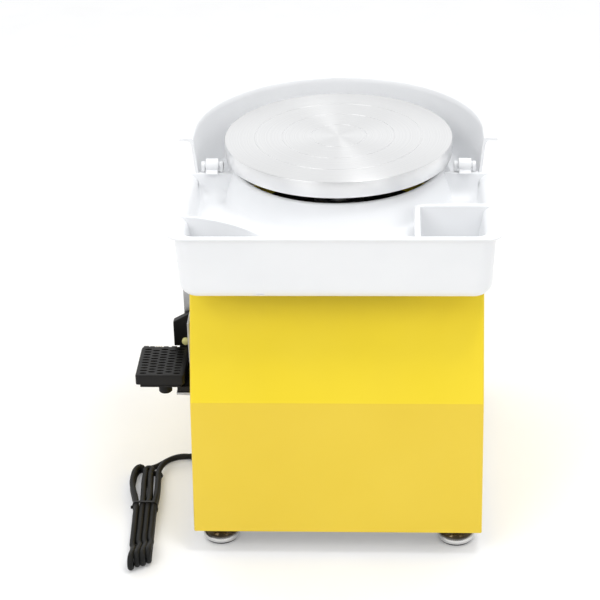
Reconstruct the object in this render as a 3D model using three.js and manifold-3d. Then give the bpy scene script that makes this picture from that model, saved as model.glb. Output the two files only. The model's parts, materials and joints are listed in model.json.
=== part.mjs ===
// Electric pottery wheel with a 250 mm wheel head, a two-part splash basin, a folded steel
// housing, a side pedal and a mains cord. Millimetres, +Z up, the floor at z = 0.
// Everything is laid out round the wheel's axis; the group is then shifted so that its origin
// lies under the middle of the machine's footprint.
import * as THREE from 'three';
import { mergeVertices } from 'three/addons/utils/BufferGeometryUtils.js';
import Module from 'manifold-3d';

const wasm = await Module();
wasm.setup();

// ---------- driving dimensions ----------
const GAP = 0.3;                 // clearance between pieces that touch
const WALL = 3;                  // moulded plastic wall
const SHEET = 2;                 // folded sheet steel

// Housing: half width, and the corners of its side profile as [y, z].
const HOUSING_HALF = 157;
const HOUSING_BOTTOM = 28;
const HOUSING_TOP = 296;
const HOUSING_REAR = 165;
const FRONT_FOOT_Y = -217;
const RIDGE = [-190, 175];
const BROW = [-134, HOUSING_TOP];
const SCREW = { x: 148.5, head: 4, shank: 1.8 };
const BASE_PLATE = 3;
const BASE_TOP = HOUSING_BOTTOM + GAP + BASE_PLATE;

// Feet
const FOOT_X = 130;
const FOOT_FRONT_Y = -184;
const FOOT_REAR_Y = 135;
const FOOT_RADIUS = 20;

// Wheel head and its drive
const HEAD_RADIUS = 125;
const HEAD_TOP = 404;
const HEAD_THICKNESS = 18.5;
const HEAD_BOTTOM = HEAD_TOP - HEAD_THICKNESS;
const GROOVES = [31, 62, 92];
const SPINDLE_RADIUS = 10;
const SPINDLE_FOOT = 200;
const BEARING_RADIUS = 21;
const BEARING_WIDTH = 12;
const BEARING_HEIGHTS = { lower_bearing: 224, upper_bearing: 320 };
const FRAME_TOP = 247;
const FRAME_STEEL = 4;
const PULLEY_BOTTOM = 205;
const PULLEY_HEIGHT = 14;
const SPINDLE_PULLEY = 60;
const MOTOR_PULLEY = 18;
const MOTOR_Y = 105;
const MOTOR_RADIUS = 42;
const MOTOR_TOP = 185.7;
const MOTOR_BOTTOM = 82;
const MOTOR_SHAFT = 5;

// Splash basin, in a front and a rear half that meet at JOINT_Y
const JOINT_Y = -25;
const BASIN_BOTTOM = HOUSING_TOP + GAP;
const BASIN_FLOOR = 341;
const BASIN_RIM = 371;
const GUARD_RIM = 411;
const POCKET_FLOOR = 302;
const FRONT_HALF_WIDTH = 163;    // outside of the wall at its foot
const FRONT_WALL_Y = -184;
const FRONT_DRAFT = 3;           // how far the wall leans out up to the rim
const FRONT_FLANGE_X = 173;
const FRONT_FLANGE_Y = -191;
const CORNER_RADIUS = 20;
const FLANGE_CORNER = 15;
const GUARD_FOOT = 149;          // outside radius of the rear wall at its foot
const GUARD_DRAFT = 12;
const GUARD_FLANGE = 173;
const BORE_RADIUS = 113;
const COLLAR_FOOT = 126;
const COLLAR_BROW = 118;
const COLLAR_TOP = 375;
const LEFT_POCKET = { x: -180, y: -276, radius: 143 };
const RIGHT_POCKET = { x: 82.5, y: -106, wall: 6 };

// Clips that hold the two basin halves together
const CLIP_X = 138.3;
const CLIP_Z = 378.3;
const CLIP_Y = JOINT_Y + 4;
const CLIP_RADIUS = 7;
const CLIP_LENGTH = 14;
const CLIP_ROD = 3.5;

// Pedal on the left side
const PEDAL = { left: -218.5, right: -165.5, front: -162, rear: -98, top: 192, skirt: 180 };
const PEDAL_PIVOT = { y: -86, z: 181, radius: 2.5 };
const PEDAL_BASE = { left: -214.5, right: -169.5, front: -156, rear: -103, bottom: 174 };
const SENSOR_RADIUS = 7;
const PEDAL_FOOT = { x: -189, y: -140, radius: 7.3, bottom: 160.5 };
const BRACKET = { left: -176, front: -150, rear: -45, shelf: 161, shelfTop: 164, top: 290 };
const WEDGE = { left: -182.8, right: -160.6, front: -93, rear: -84, bottom: 190.6, low: 220.6, high: 233 };
const KNOB = { x: -169.7, z: 197.2, radius: 4.2, length: 4, shank: 1.8, depth: 7 };

// Rocker switches on the left side, as [y, z] of their middles
const SWITCHES = { power: [40, 236], direction: [92, 236] };
const BEZEL = { height: 31, depth: 25, thick: 2 };
const SWITCH_BODY = { height: 27, depth: 21.5, length: 16 };
const ROCKER = { height: 21, depth: 16 };
const POWER_OFF_TILT = THREE.MathUtils.degToRad(-8);

// Mains cord
const CORD_RADIUS = 3.25;
const INLET = { x: -120, z: 45, tip: 190 };
const HANK = { bottom: 1.7, top: 14.7 };
const TIE_Y = -143;

// The origin lies under the middle of the footprint, cord aside.
const ORIGIN_X = (PEDAL.left + GUARD_FLANGE) / 2;
const ORIGIN_Y = (FRONT_FOOT_Y + GUARD_FLANGE) / 2;

// ---------- materials ----------
function material(color, roughness, metalness) {
  return new THREE.MeshStandardMaterial({ color, roughness, metalness });
}
const yellowPaint = material(0xf0cf38, 0.4, 0.1);
const whitePlastic = material(0xf2f3f5, 0.35, 0);
const brushedAluminium = material(0xd8d9db, 0.3, 1);
const steel = material(0xa9abad, 0.35, 1);
const galvanised = material(0xb4b6b4, 0.45, 0.8);
const castIron = material(0x5a5c5f, 0.7, 0.6);
const blackPlastic = material(0x1b1a19, 0.5, 0);
const blackRubber = material(0x141414, 0.8, 0);
const motorPaint = material(0x2e3033, 0.5, 0.3);
const circuitGreen = material(0x1f5a36, 0.6, 0);
const paleKnob = material(0xf2ee9a, 0.4, 0);

// ---------- geometry helpers ----------
// A closed solid for cutting and joining, from any closed BufferGeometry.
function solid(geometry) {
  const bare = geometry.clone();
  bare.deleteAttribute('normal');
  bare.deleteAttribute('uv');
  const merged = mergeVertices(bare, 1e-4);
  const index = merged.index.array;
  const triangles = [];
  for (let i = 0; i < index.length; i += 3) {
    const [a, b, c] = [index[i], index[i + 1], index[i + 2]];
    if (a !== b && b !== c && c !== a) triangles.push(a, b, c);
  }
  return new wasm.Manifold(new wasm.Mesh({
    numProp: 3,
    vertProperties: Float32Array.from(merged.attributes.position.array),
    triVerts: Uint32Array.from(triangles),
  }));
}

function geometryOf(body) {
  const mesh = body.getMesh();
  const geometry = new THREE.BufferGeometry();
  geometry.setAttribute('position', new THREE.BufferAttribute(mesh.vertProperties, 3));
  geometry.setIndex(new THREE.BufferAttribute(mesh.triVerts, 1));
  geometry.computeVertexNormals();
  return geometry;
}

function join(first, ...others) {
  return geometryOf(others.reduce((sum, other) => sum.add(solid(other)), solid(first)));
}

function cut(base, ...tools) {
  return geometryOf(tools.reduce((rest, tool) => rest.subtract(solid(tool)), solid(base)));
}

function keep(base, region) {
  return geometryOf(solid(base).intersect(solid(region)));
}

// A box from its lowest to its highest corner.
function block([x0, x1], [y0, y1], [z0, z1]) {
  const box = new THREE.BoxGeometry(x1 - x0, y1 - y0, z1 - z0);
  return box.translate((x0 + x1) / 2, (y0 + y1) / 2, (z0 + z1) / 2);
}

// A solid of revolution about the vertical line through (x, y), from [radius, z] points.
function turned(profile, segments, x = 0, y = 0) {
  const points = profile.map(([radius, z]) => new THREE.Vector2(radius, z));
  const lathe = new THREE.LatheGeometry(points, segments);
  return lathe.rotateX(Math.PI / 2).translate(x, y, 0);
}

// The same about a line along X or Y, where the profile's second number runs along that line.
function turnedAlongX(profile, segments, y, z) {
  return turned(profile, segments).rotateY(Math.PI / 2).translate(0, y, z);
}

function turnedAlongY(profile, segments, x, z) {
  return turned(profile, segments).rotateX(-Math.PI / 2).translate(x, 0, z);
}

function drum(radius, low, high) {
  return [[0, low], [radius, low], [radius, high], [0, high]];
}

function ring(inner, outer, low, high) {
  return [[inner, low], [outer, low], [outer, high], [inner, high], [inner, low]];
}

function outline(points) {
  return new THREE.Shape(points.map(([u, v]) => new THREE.Vector2(u, v)));
}

function extrude(shape, depth, curveSegments = 8) {
  return new THREE.ExtrudeGeometry(shape, { depth, bevelEnabled: false, curveSegments });
}

function upright(shape, low, high, curveSegments) {
  return extrude(shape, high - low, curveSegments).translate(0, 0, low);
}

// A [y, z] outline carried along X.
function alongX(shape, low, high) {
  const turn = new THREE.Matrix4().makeBasis(
    new THREE.Vector3(0, 1, 0), new THREE.Vector3(0, 0, 1), new THREE.Vector3(1, 0, 0));
  return extrude(shape, high - low).applyMatrix4(turn).translate(low, 0, 0);
}

// An [x, z] outline carried along Y.
function alongY(shape, low, high, curveSegments) {
  return extrude(shape, high - low, curveSegments).rotateX(Math.PI / 2).translate(0, high, 0);
}

// Moves each corner of a convex [u, v] outline inwards, so that every side moves by `distance`.
function inset(points, distance) {
  return points.map((corner, i) => {
    const before = points[(i + points.length - 1) % points.length];
    const after = points[(i + 1) % points.length];
    const normal = ([a, b], [c, d]) => {
      const length = Math.hypot(c - a, d - b);
      return [(d - b) / length, (a - c) / length];
    };
    const n = normal(before, corner);
    const m = normal(corner, after);
    const shift = distance / (1 + n[0] * m[0] + n[1] * m[1]);
    return [corner[0] - shift * (n[0] + m[0]), corner[1] - shift * (n[1] + m[1])];
  });
}

const parts = new THREE.Group();

function add(name, geometry, look) {
  const mesh = new THREE.Mesh(geometry, look);
  mesh.name = name;
  parts.add(mesh);
}

// ---------- housing ----------
// Side profile, counterclockwise in [y, z], cut back by `distance` on every side.
function housingProfile(distance, rear, bottom) {
  const corners = [
    [FRONT_FOOT_Y, HOUSING_BOTTOM], [HOUSING_REAR, HOUSING_BOTTOM],
    [HOUSING_REAR, HOUSING_TOP], BROW, RIDGE,
  ];
  const cutBack = distance ? inset(corners, distance) : corners;
  cutBack[0][0] += (cutBack[0][0] - cutBack[4][0]) * (cutBack[0][1] - bottom)
    / (cutBack[4][1] - cutBack[0][1]);
  cutBack[0][1] = bottom;
  cutBack[1] = [rear, bottom];
  cutBack[2] = [rear, cutBack[2][1]];
  return outline(cutBack);
}

function housingShell() {
  const outside = alongX(
    housingProfile(0, HOUSING_REAR, HOUSING_BOTTOM), -HOUSING_HALF, HOUSING_HALF);
  const inside = alongX(housingProfile(SHEET, HOUSING_REAR + 1, HOUSING_BOTTOM - 1),
    -HOUSING_HALF + SHEET, HOUSING_HALF - SHEET);
  const spindleHole = turned(drum(34, HOUSING_TOP - 5, HOUSING_TOP + 5), 24);
  const openings = Object.values(SWITCHES).map(([y, z]) => block(
    [-HOUSING_HALF - 2, -HOUSING_HALF + 4],
    [y - SWITCH_BODY.depth / 2 - GAP, y + SWITCH_BODY.depth / 2 + GAP],
    [z - SWITCH_BODY.height / 2 - GAP, z + SWITCH_BODY.height / 2 + GAP]));
  for (let row = 0; row < 5; row += 1) {
    const z = 90 + row * 16;
    openings.push(block([HOUSING_HALF - 4, HOUSING_HALF + 2], [0, 90], [z, z + 5]));
  }
  const shell = cut(outside, inside, spindleHole, ...openings);
  const lip = (side) => cut(
    block(side > 0 ? [142, HOUSING_HALF - 1] : [1 - HOUSING_HALF, -142], [159, 161], [50, 280]),
    ...[65, 265].map((z) => turnedAlongY(drum(SCREW.shank + GAP, 155, 165), 10, side * SCREW.x, z)));
  return join(shell, lip(-1), lip(1));
}

function rearPanel() {
  const plate = block([-154.5, 154.5], [161.3, 163.3], [HOUSING_BOTTOM + 4, HOUSING_TOP - SHEET - GAP]);
  const holes = [-SCREW.x, SCREW.x].flatMap((x) => [65, 265].map((z) => turnedAlongY(
    drum(SCREW.shank + GAP, 155, 170), 10, x, z)));
  holes.push(turnedAlongY(drum(6.5, 155, 170), 16, INLET.x, INLET.z));
  for (let row = 0; row < 6; row += 1) {
    const z = 150 + row * 16;
    holes.push(block([-60, 60], [155, 170], [z, z + 5]));
  }
  return cut(plate, ...holes);
}

function basePlate() {
  const plate = block([-154.6, 154.6], [-213.2, 161], [HOUSING_BOTTOM + GAP, BASE_TOP]);
  const studs = footPlaces().map(([, x, y]) => turned(drum(4.5, 20, 40), 12, x, y));
  return cut(plate, ...studs);
}

function footPlaces() {
  return [
    ['front_left', -FOOT_X, FOOT_FRONT_Y], ['front_right', FOOT_X, FOOT_FRONT_Y],
    ['rear_left', -FOOT_X, FOOT_REAR_Y], ['rear_right', FOOT_X, FOOT_REAR_Y],
  ];
}

add('housing_shell', housingShell(), yellowPaint);
add('rear_panel', rearPanel(), yellowPaint);
add('base_plate', basePlate(), steel);

for (const [place, x, y] of footPlaces()) {
  const cup = [
    [0, 6], [FOOT_RADIUS - 1.2, 6], [FOOT_RADIUS - 1.2, 3], [FOOT_RADIUS, 3],
    [FOOT_RADIUS, HOUSING_BOTTOM], [4, HOUSING_BOTTOM], [4, BASE_TOP + 8], [0, BASE_TOP + 8],
  ];
  add(`foot_${place}`, turned(cup, 20, x, y), steel);
  add(`foot_pad_${place}`, turned(drum(FOOT_RADIUS - 1.5, 0, 5.7), 20, x, y), blackRubber);
}

[[-1, 65], [-1, 265], [1, 65], [1, 265]].forEach(([side, z], i) => {
  const screw = [
    [0, 154], [SCREW.shank, 154], [SCREW.shank, 163.6], [SCREW.head, 163.6],
    [SCREW.head - 1, 165.6], [0, 165.6],
  ];
  add(`rear_screw_${i + 1}`, turnedAlongY(screw, 10, side * SCREW.x, z), steel);
});

// ---------- frame, spindle and drive ----------
function supportFrame() {
  const half = 140;
  const foot = BASE_TOP + GAP;
  const arch = outline([
    [-half, foot], [-half + FRAME_STEEL, foot], [-half + FRAME_STEEL, FRAME_TOP - FRAME_STEEL],
    [half - FRAME_STEEL, FRAME_TOP - FRAME_STEEL], [half - FRAME_STEEL, foot], [half, foot],
    [half, FRAME_TOP], [-half, FRAME_TOP],
  ]);
  return cut(alongY(arch, -40, 155), turned(drum(29, 230, 260), 20));
}

function bearingHousing() {
  const tube = 28;
  const bore = BEARING_RADIUS + GAP;
  return turned([
    [bore, 222], [tube, 222], [tube, FRAME_TOP + GAP], [44, FRAME_TOP + GAP], [44, FRAME_TOP + 9],
    [tube, FRAME_TOP + 9], [tube, 334], [bore, 334], [bore, 222],
  ], 24);
}

function headHub() {
  const bore = SPINDLE_RADIUS + GAP;
  const seat = HEAD_BOTTOM - GAP;
  return turned([
    [bore, 340], [24, 340], [24, seat - 12], [45, seat - 8], [45, seat], [0, seat],
    [0, seat - 4], [bore, seat - 4], [bore, 340],
  ], 24);
}

function wheelHead() {
  const profile = [[0, HEAD_BOTTOM], [HEAD_RADIUS - 1, HEAD_BOTTOM], [HEAD_RADIUS, HEAD_BOTTOM + 1],
    [HEAD_RADIUS, HEAD_TOP - 1], [HEAD_RADIUS - 1, HEAD_TOP]];
  for (const radius of [...GROOVES].reverse()) {
    profile.push([radius + 0.6, HEAD_TOP], [radius, HEAD_TOP - 0.6], [radius - 0.6, HEAD_TOP]);
  }
  profile.push([0, HEAD_TOP]);
  return turned(profile, 40);
}

function pulley(outer, bore, hub, x, y) {
  const top = PULLEY_BOTTOM + PULLEY_HEIGHT;
  if (outer < 2 * hub) return turned(ring(bore, outer, PULLEY_BOTTOM, top), 24, x, y);
  return turned([
    [bore, PULLEY_BOTTOM], [hub, PULLEY_BOTTOM], [hub, PULLEY_BOTTOM + 5], [outer - 7, PULLEY_BOTTOM + 5],
    [outer - 7, PULLEY_BOTTOM], [outer, PULLEY_BOTTOM], [outer, top], [outer - 7, top],
    [outer - 7, top - 5], [hub, top - 5], [hub, top], [bore, top], [bore, PULLEY_BOTTOM],
  ], 24, x, y);
}

// A flat belt's outline, `clear` outside both pulleys, with its two straight runs.
function beltLoop(clear) {
  const reach = Math.acos((SPINDLE_PULLEY - MOTOR_PULLEY) / MOTOR_Y);
  const [start, end] = [Math.PI / 2 + reach, Math.PI / 2 - reach];
  const loop = new THREE.Shape();
  loop.absarc(0, 0, SPINDLE_PULLEY + clear, start, end + 2 * Math.PI, false);
  loop.absarc(0, MOTOR_Y, MOTOR_PULLEY + clear, end, start, false);
  loop.closePath();
  return loop;
}

function driveBelt() {
  const low = PULLEY_BOTTOM + 2;
  const high = PULLEY_BOTTOM + PULLEY_HEIGHT - 2;
  return cut(upright(beltLoop(3.3), low, high, 12), upright(beltLoop(1.2), low - 1, high + 1, 12));
}

function motorBracket() {
  const [web, leg, brim] = [MOTOR_TOP + GAP, FRAME_TOP - FRAME_STEEL - GAP, 3];
  const section = outline([
    [-54, web], [54, web], [54, leg - brim], [70, leg - brim], [70, leg], [51, leg],
    [51, web + brim], [-51, web + brim], [-51, leg], [-70, leg], [-70, leg - brim], [-54, leg - brim],
  ]);
  return cut(alongY(section, MOTOR_Y - 48, MOTOR_Y + 48), turned(drum(14, 180, 195), 16, 0, MOTOR_Y));
}

function motorBody() {
  const bore = MOTOR_SHAFT + 1;
  return turned([
    [0, MOTOR_BOTTOM], [MOTOR_RADIUS, MOTOR_BOTTOM], [MOTOR_RADIUS, MOTOR_TOP], [bore, MOTOR_TOP],
    [bore, MOTOR_BOTTOM + 38], [0, MOTOR_BOTTOM + 38],
  ], 24, 0, MOTOR_Y);
}

function controllerCase() {
  const outside = block([-110, -10], [-150, -70], [BASE_TOP + GAP, 78]);
  return cut(outside, block([-108, -12], [-148, -72], [BASE_TOP + GAP + SHEET, 90]));
}

add('support_frame', supportFrame(), steel);
add('bearing_housing', bearingHousing(), castIron);
for (const [name, z] of Object.entries(BEARING_HEIGHTS)) {
  add(name, turned(ring(SPINDLE_RADIUS + GAP, BEARING_RADIUS, z, z + BEARING_WIDTH), 24), steel);
}
add('spindle', turned(drum(SPINDLE_RADIUS, SPINDLE_FOOT, HEAD_BOTTOM - 4.6), 16), steel);
add('head_hub', headHub(), brushedAluminium);
add('wheel_head', wheelHead(), brushedAluminium);
add('spindle_pulley', pulley(SPINDLE_PULLEY, SPINDLE_RADIUS + GAP, 18, 0, 0), castIron);
add('drive_belt', driveBelt(), blackRubber);
add('motor_bracket', motorBracket(), galvanised);
add('motor_body', motorBody(), motorPaint);
add('motor_shaft', turned(
  drum(MOTOR_SHAFT, MOTOR_BOTTOM + 40, PULLEY_BOTTOM + PULLEY_HEIGHT + 2), 16, 0, MOTOR_Y), steel);
add('motor_pulley', pulley(MOTOR_PULLEY, MOTOR_SHAFT + GAP, 12, 0, MOTOR_Y), steel);
add('controller_case', controllerCase(), galvanised);
add('circuit_board', block([-104, -16], [-144, -76], [44, 45.6]), circuitGreen);

// ---------- splash basin ----------
// Spreads a prism outwards with height; `way` gives the outward direction at a point.
function drafted(geometry, low, high, amount, way) {
  const position = geometry.attributes.position;
  for (let i = 0; i < position.count; i += 1) {
    const [x, y, z] = [position.getX(i), position.getY(i), position.getZ(i)];
    const [dx, dy] = way(x, y);
    const share = amount * (z - low) / (high - low);
    position.setXY(i, x + dx * share, y + dy * share);
  }
  return geometry;
}

const FAR = 300;
const frontWay = (x, y) => [Math.sign(x), Math.sign(y - JOINT_Y)];
const rearWay = (x, y) => (y > 0 ? [x / Math.hypot(x, y), y / Math.hypot(x, y)] : [Math.sign(x), 0]);

// A rectangle from y = front to well past the joint, with its two front corners rounded.
function frontPlan(halfWidth, front, radius) {
  const plan = new THREE.Shape();
  plan.moveTo(halfWidth, 60);
  plan.lineTo(-halfWidth, 60);
  plan.absarc(-halfWidth + radius, front + radius, radius, Math.PI, 1.5 * Math.PI, false);
  plan.absarc(halfWidth - radius, front + radius, radius, 1.5 * Math.PI, 2 * Math.PI, false);
  plan.closePath();
  return plan;
}

// A half circle behind the axis, with straight sides that run past the joint.
function rearPlan(radius) {
  const plan = new THREE.Shape();
  plan.moveTo(-radius, -60);
  plan.lineTo(radius, -60);
  plan.absarc(0, 0, radius, 0, Math.PI, false);
  plan.closePath();
  return plan;
}

// A front-half prism with a rounded-over foot of the given depth, open-ended above.
function footedFront(thinner, low, high, foot) {
  const plan = frontPlan(FRONT_HALF_WIDTH - thinner, FRONT_WALL_Y + thinner, CORNER_RADIUS - thinner);
  const body = new THREE.ExtrudeGeometry(plan, {
    depth: high - low - foot, curveSegments: 6, bevelEnabled: true, bevelSegments: foot ? 3 : 1,
    bevelThickness: foot, bevelSize: foot, bevelOffset: -foot,
  });
  return drafted(body.translate(0, 0, low + foot), BASIN_BOTTOM, BASIN_RIM, FRONT_DRAFT, frontWay);
}

function rearPrism(thinner, low, high) {
  const body = upright(rearPlan(GUARD_FOOT - thinner), low, high, 24);
  return drafted(body, BASIN_BOTTOM, GUARD_RIM, GUARD_DRAFT, rearWay);
}

const halfSpace = {
  front: block([-FAR, FAR], [-FAR, JOINT_Y - GAP / 2], [0, FAR + FAR]),
  rear: block([-FAR, FAR], [JOINT_Y + GAP / 2, FAR], [0, FAR + FAR]),
};

// The raised collar that hides under the wheel head, `thinner` than its outside.
function collar(thinner, low) {
  const [foot, brow, top] = [COLLAR_FOOT - thinner, COLLAR_BROW - thinner, COLLAR_TOP - thinner];
  return turned([[0, low], [foot, low], [foot, BASIN_FLOOR - thinner], [brow, top], [0, top]], 32);
}

function leftPocket(thinner, low, high) {
  const { x, y, radius } = LEFT_POCKET;
  return turned(drum(radius - thinner, low, high), 80, x, y);
}

function rightPocket(thinner, low, high) {
  const { x, y } = RIGHT_POCKET;
  return block([x + thinner, FAR], [-FAR, y - thinner], [low, high]);
}

function frontBasin() {
  const above = BASIN_RIM + 30;
  const wallBlock = keep(footedFront(0, BASIN_BOTTOM, above, 14),
    block([-FAR, FAR], [-FAR, FAR], [0, BASIN_RIM]));
  const flange = upright(
    frontPlan(FRONT_FLANGE_X, FRONT_FLANGE_Y, FLANGE_CORNER), BASIN_RIM - 4, BASIN_RIM, 6);
  const inner = footedFront(WALL, POCKET_FLOOR - 30, above, 14);
  const ahead = block([-FAR, FAR], [-FAR, JOINT_Y - WALL], [0, FAR + FAR]);
  const gutter = keep(keep(inner, ahead), block([-FAR, FAR], [-FAR, FAR], [BASIN_FLOOR, above]));
  const bowl = cut(gutter, collar(0, 0), leftPocket(0, 0, above), rightPocket(0, 0, above));
  const pocketInside = keep(footedFront(WALL, POCKET_FLOOR, above, 12), ahead);
  const pockets = [
    keep(pocketInside, leftPocket(WALL, POCKET_FLOOR, above)),
    keep(pocketInside, rightPocket(RIGHT_POCKET.wall, POCKET_FLOOR, above)),
  ];
  const below = keep(keep(inner, ahead), block([-FAR, FAR], [-FAR, FAR], [0, BASIN_FLOOR - WALL]));
  const hollow = cut(below, leftPocket(0, 0, above), rightPocket(0, 0, above));
  const underCollar = keep(collar(WALL, 0), ahead);
  const bore = turned(drum(BORE_RADIUS, 0, above), 32);
  const rough = join(wallBlock, flange, collar(0, BASIN_BOTTOM));
  return keep(cut(rough, bowl, ...pockets, hollow, underCollar, bore), halfSpace.front);
}

function rearBasin() {
  const above = GUARD_RIM + 10;
  const walls = rearPrism(0, BASIN_BOTTOM, GUARD_RIM);
  const flange = upright(rearPlan(GUARD_FLANGE), GUARD_RIM - WALL, GUARD_RIM, 24);
  const behind = block([-FAR, FAR], [JOINT_Y + WALL, FAR], [0, FAR + FAR]);
  const inside = rearPrism(WALL, BASIN_FLOOR, above);
  const bowl = cut(keep(inside, behind), collar(0, 0));
  const openEnd = keep(inside, block([-FAR, FAR], [-FAR, FAR], [BASIN_RIM, above]));
  const freeEnd = cut(openEnd, collar(0, 0));
  const hollow = keep(rearPrism(WALL, 0, BASIN_FLOOR - WALL), behind);
  const underCollar = keep(collar(WALL, 0), behind);
  const bore = turned(drum(BORE_RADIUS, 0, above), 32);
  const rough = join(walls, flange);
  return keep(cut(rough, bowl, freeEnd, hollow, underCollar, bore), halfSpace.rear);
}

// On the front half: a hook whose mouth opens backwards, over the other half's rod.
function clip(x) {
  const span = [x - CLIP_LENGTH / 2, x + CLIP_LENGTH / 2];
  const barrel = turnedAlongX(drum(CLIP_RADIUS, ...span), 20, CLIP_Y, CLIP_Z);
  const foot = block(span, [JOINT_Y - 8, CLIP_Y], [BASIN_RIM + GAP, BASIN_RIM + 4]);
  const mouth = join(
    turnedAlongX(drum(CLIP_ROD + GAP, span[0] - 1, span[1] + 1), 16, CLIP_Y, CLIP_Z),
    block([span[0] - 1, span[1] + 1], [CLIP_Y, CLIP_Y + 20],
      [CLIP_Z - CLIP_ROD - GAP, CLIP_Z + CLIP_ROD + GAP]));
  return cut(join(barrel, foot), mouth);
}

// On the rear half: a rod held by a lug at each end.
function clipRod(x) {
  const reach = CLIP_LENGTH / 2 + 5;
  const rod = turnedAlongX(drum(CLIP_ROD, x - reach, x + reach), 16, CLIP_Y, CLIP_Z);
  const lugs = [-1, 1].map((side) => block(
    [x + side * (reach - 2) - 2, x + side * (reach - 2) + 2],
    [CLIP_Y - 3.5, CLIP_Y + 4], [BASIN_RIM + GAP, CLIP_Z + 4]));
  return join(rod, ...lugs);
}

add('front_basin', frontBasin(), whitePlastic);
add('rear_basin', rearBasin(), whitePlastic);
add('left_clip', clip(-CLIP_X), whitePlastic);
add('right_clip', clip(CLIP_X), whitePlastic);
add('left_clip_rod', clipRod(-CLIP_X), whitePlastic);
add('right_clip_rod', clipRod(CLIP_X), whitePlastic);

// ---------- pedal ----------
// A lug with a hole for the pedal's pin, from x0 to x1.
function lug(x0, x1, front, low, high) {
  const { y, z, radius } = PEDAL_PIVOT;
  return cut(block([x0, x1], [front, y + 6], [low, high]),
    turnedAlongX(drum(radius + GAP, x0 - 1, x1 + 1), 14, y, z));
}

// A pressed tread with a rim all round but at the back, pierced by rows of lens-shaped slots.
function treadle() {
  const { left, right, front, rear, top, skirt } = PEDAL;
  const cap = cut(block([left, right], [front, rear], [skirt, top]),
    block([left + WALL, right - WALL], [front + WALL, rear + 1], [skirt - 1, top - WALL]));
  const slots = [];
  const [columns, rows] = [5, 9];
  const [stepX, stepY] = [(right - left - 6) / columns, (rear - front - 6) / rows];
  for (let column = 0; column < columns; column += 1) {
    for (let row = 0; row < rows - (column % 2); row += 1) {
      const x = left + 3 + (column + 0.5) * stepX;
      const y = front + 3 + (row + 0.5 + (column % 2) / 2) * stepY;
      const [a, b] = [stepX * 0.42, stepY * 0.22];
      slots.push(upright(outline([[x - a, y], [x, y - b], [x + a, y], [x, y + b]]), top - WALL - 1, top + 1));
    }
  }
  const pierced = cut(cap, ...slots);
  return join(pierced, lug(left, left + 6, rear - 3, 175, 189.5), lug(-187, -181, rear - 3, 175, 189.5));
}

function pedalBase() {
  const { left, right, front, rear, bottom } = PEDAL_BASE;
  const wedge = alongX(outline([[front, bottom], [rear, bottom], [rear, 184], [front, 177]]), left, right);
  const saddle = block([BRACKET.left + 1, -160.6], [BRACKET.front + 1, -62],
    [BRACKET.shelfTop + GAP, 171]);
  const bridge = block([BRACKET.left + 1, right], [front + 8, rear], [170, bottom + 2]);
  const cradle = block([BRACKET.left + 1, -163], [-92, -80], [170, PEDAL_PIVOT.z - SENSOR_RADIUS - GAP]);
  const ears = [[-211.5, -206], [-196, -190.5]].map(([x0, x1]) => lug(x0, x1, rear - 2, bottom, 185.5));
  return join(wedge, bridge, saddle, cradle, ...ears);
}

function pedalBracket() {
  const { left, front, rear, shelf, shelfTop, top } = BRACKET;
  const back = block([-160.3, -HOUSING_HALF - GAP], [front, rear], [shelf, 250]);
  const ledge = block([left, -HOUSING_HALF - GAP], [front, rear - 15], [shelf, shelfTop]);
  const channel = cut(block([-171, -HOUSING_HALF - GAP], [-83, -50], [206, top]),
    block([-169, -150], [-81, -52], [200, top + 10]));
  return join(channel, back, ledge);
}

function wedgeBox() {
  const { left, right, front, rear, bottom, low, high } = WEDGE;
  const section = outline([[left, bottom], [right, bottom], [right, high], [left, low]]);
  return cut(alongY(section, front, rear), turnedAlongY(
    drum(KNOB.shank + GAP, front - 1, front + KNOB.depth + 1), 12, KNOB.x, KNOB.z));
}

function clampKnob() {
  const { x, z, radius, length, shank, depth } = KNOB;
  const [face, back] = [WEDGE.front - GAP - length, WEDGE.front - GAP];
  return turnedAlongY([
    [0, face], [radius - 1.2, face], [radius, face + 1.2], [radius, back], [shank, back],
    [shank, WEDGE.front + depth], [0, WEDGE.front + depth],
  ], 16, x, z);
}

add('pedal_bracket', pedalBracket(), galvanised);
add('pedal_base', pedalBase(), blackPlastic);
add('pedal_treadle', treadle(), blackPlastic);
for (const [name, profile, look] of [
  ['pedal_pin', drum(PEDAL_PIVOT.radius, PEDAL.left, -178), steel],
  ['pedal_spring', ring(3.1, 4.8, -205.7, -196.3), steel],
  ['speed_sensor', drum(SENSOR_RADIUS, -177.6, -163), blackPlastic],
]) {
  add(name, turnedAlongX(profile, 16, PEDAL_PIVOT.y, PEDAL_PIVOT.z), look);
}
add('pedal_control_box', wedgeBox(), blackPlastic);
add('pedal_rubber_foot', turned(
  drum(PEDAL_FOOT.radius, PEDAL_FOOT.bottom, PEDAL_BASE.bottom - GAP), 16,
  PEDAL_FOOT.x, PEDAL_FOOT.y), blackRubber);
add('clamp_knob', clampKnob(), paleKnob);

// ---------- rocker switches ----------
function switchBody(y, z) {
  const face = -HOUSING_HALF - GAP;
  const bezel = block([face - BEZEL.thick, face], [y - BEZEL.depth / 2, y + BEZEL.depth / 2],
    [z - BEZEL.height / 2, z + BEZEL.height / 2]);
  const body = block([face - 1, face + SWITCH_BODY.length],
    [y - SWITCH_BODY.depth / 2, y + SWITCH_BODY.depth / 2],
    [z - SWITCH_BODY.height / 2, z + SWITCH_BODY.height / 2]);
  const well = block([face - BEZEL.thick - 1, face + 9],
    [y - ROCKER.depth / 2 - 0.5, y + ROCKER.depth / 2 + 0.5],
    [z - ROCKER.height / 2 - 1, z + ROCKER.height / 2 + 1]);
  return cut(join(bezel, body), well);
}

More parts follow.
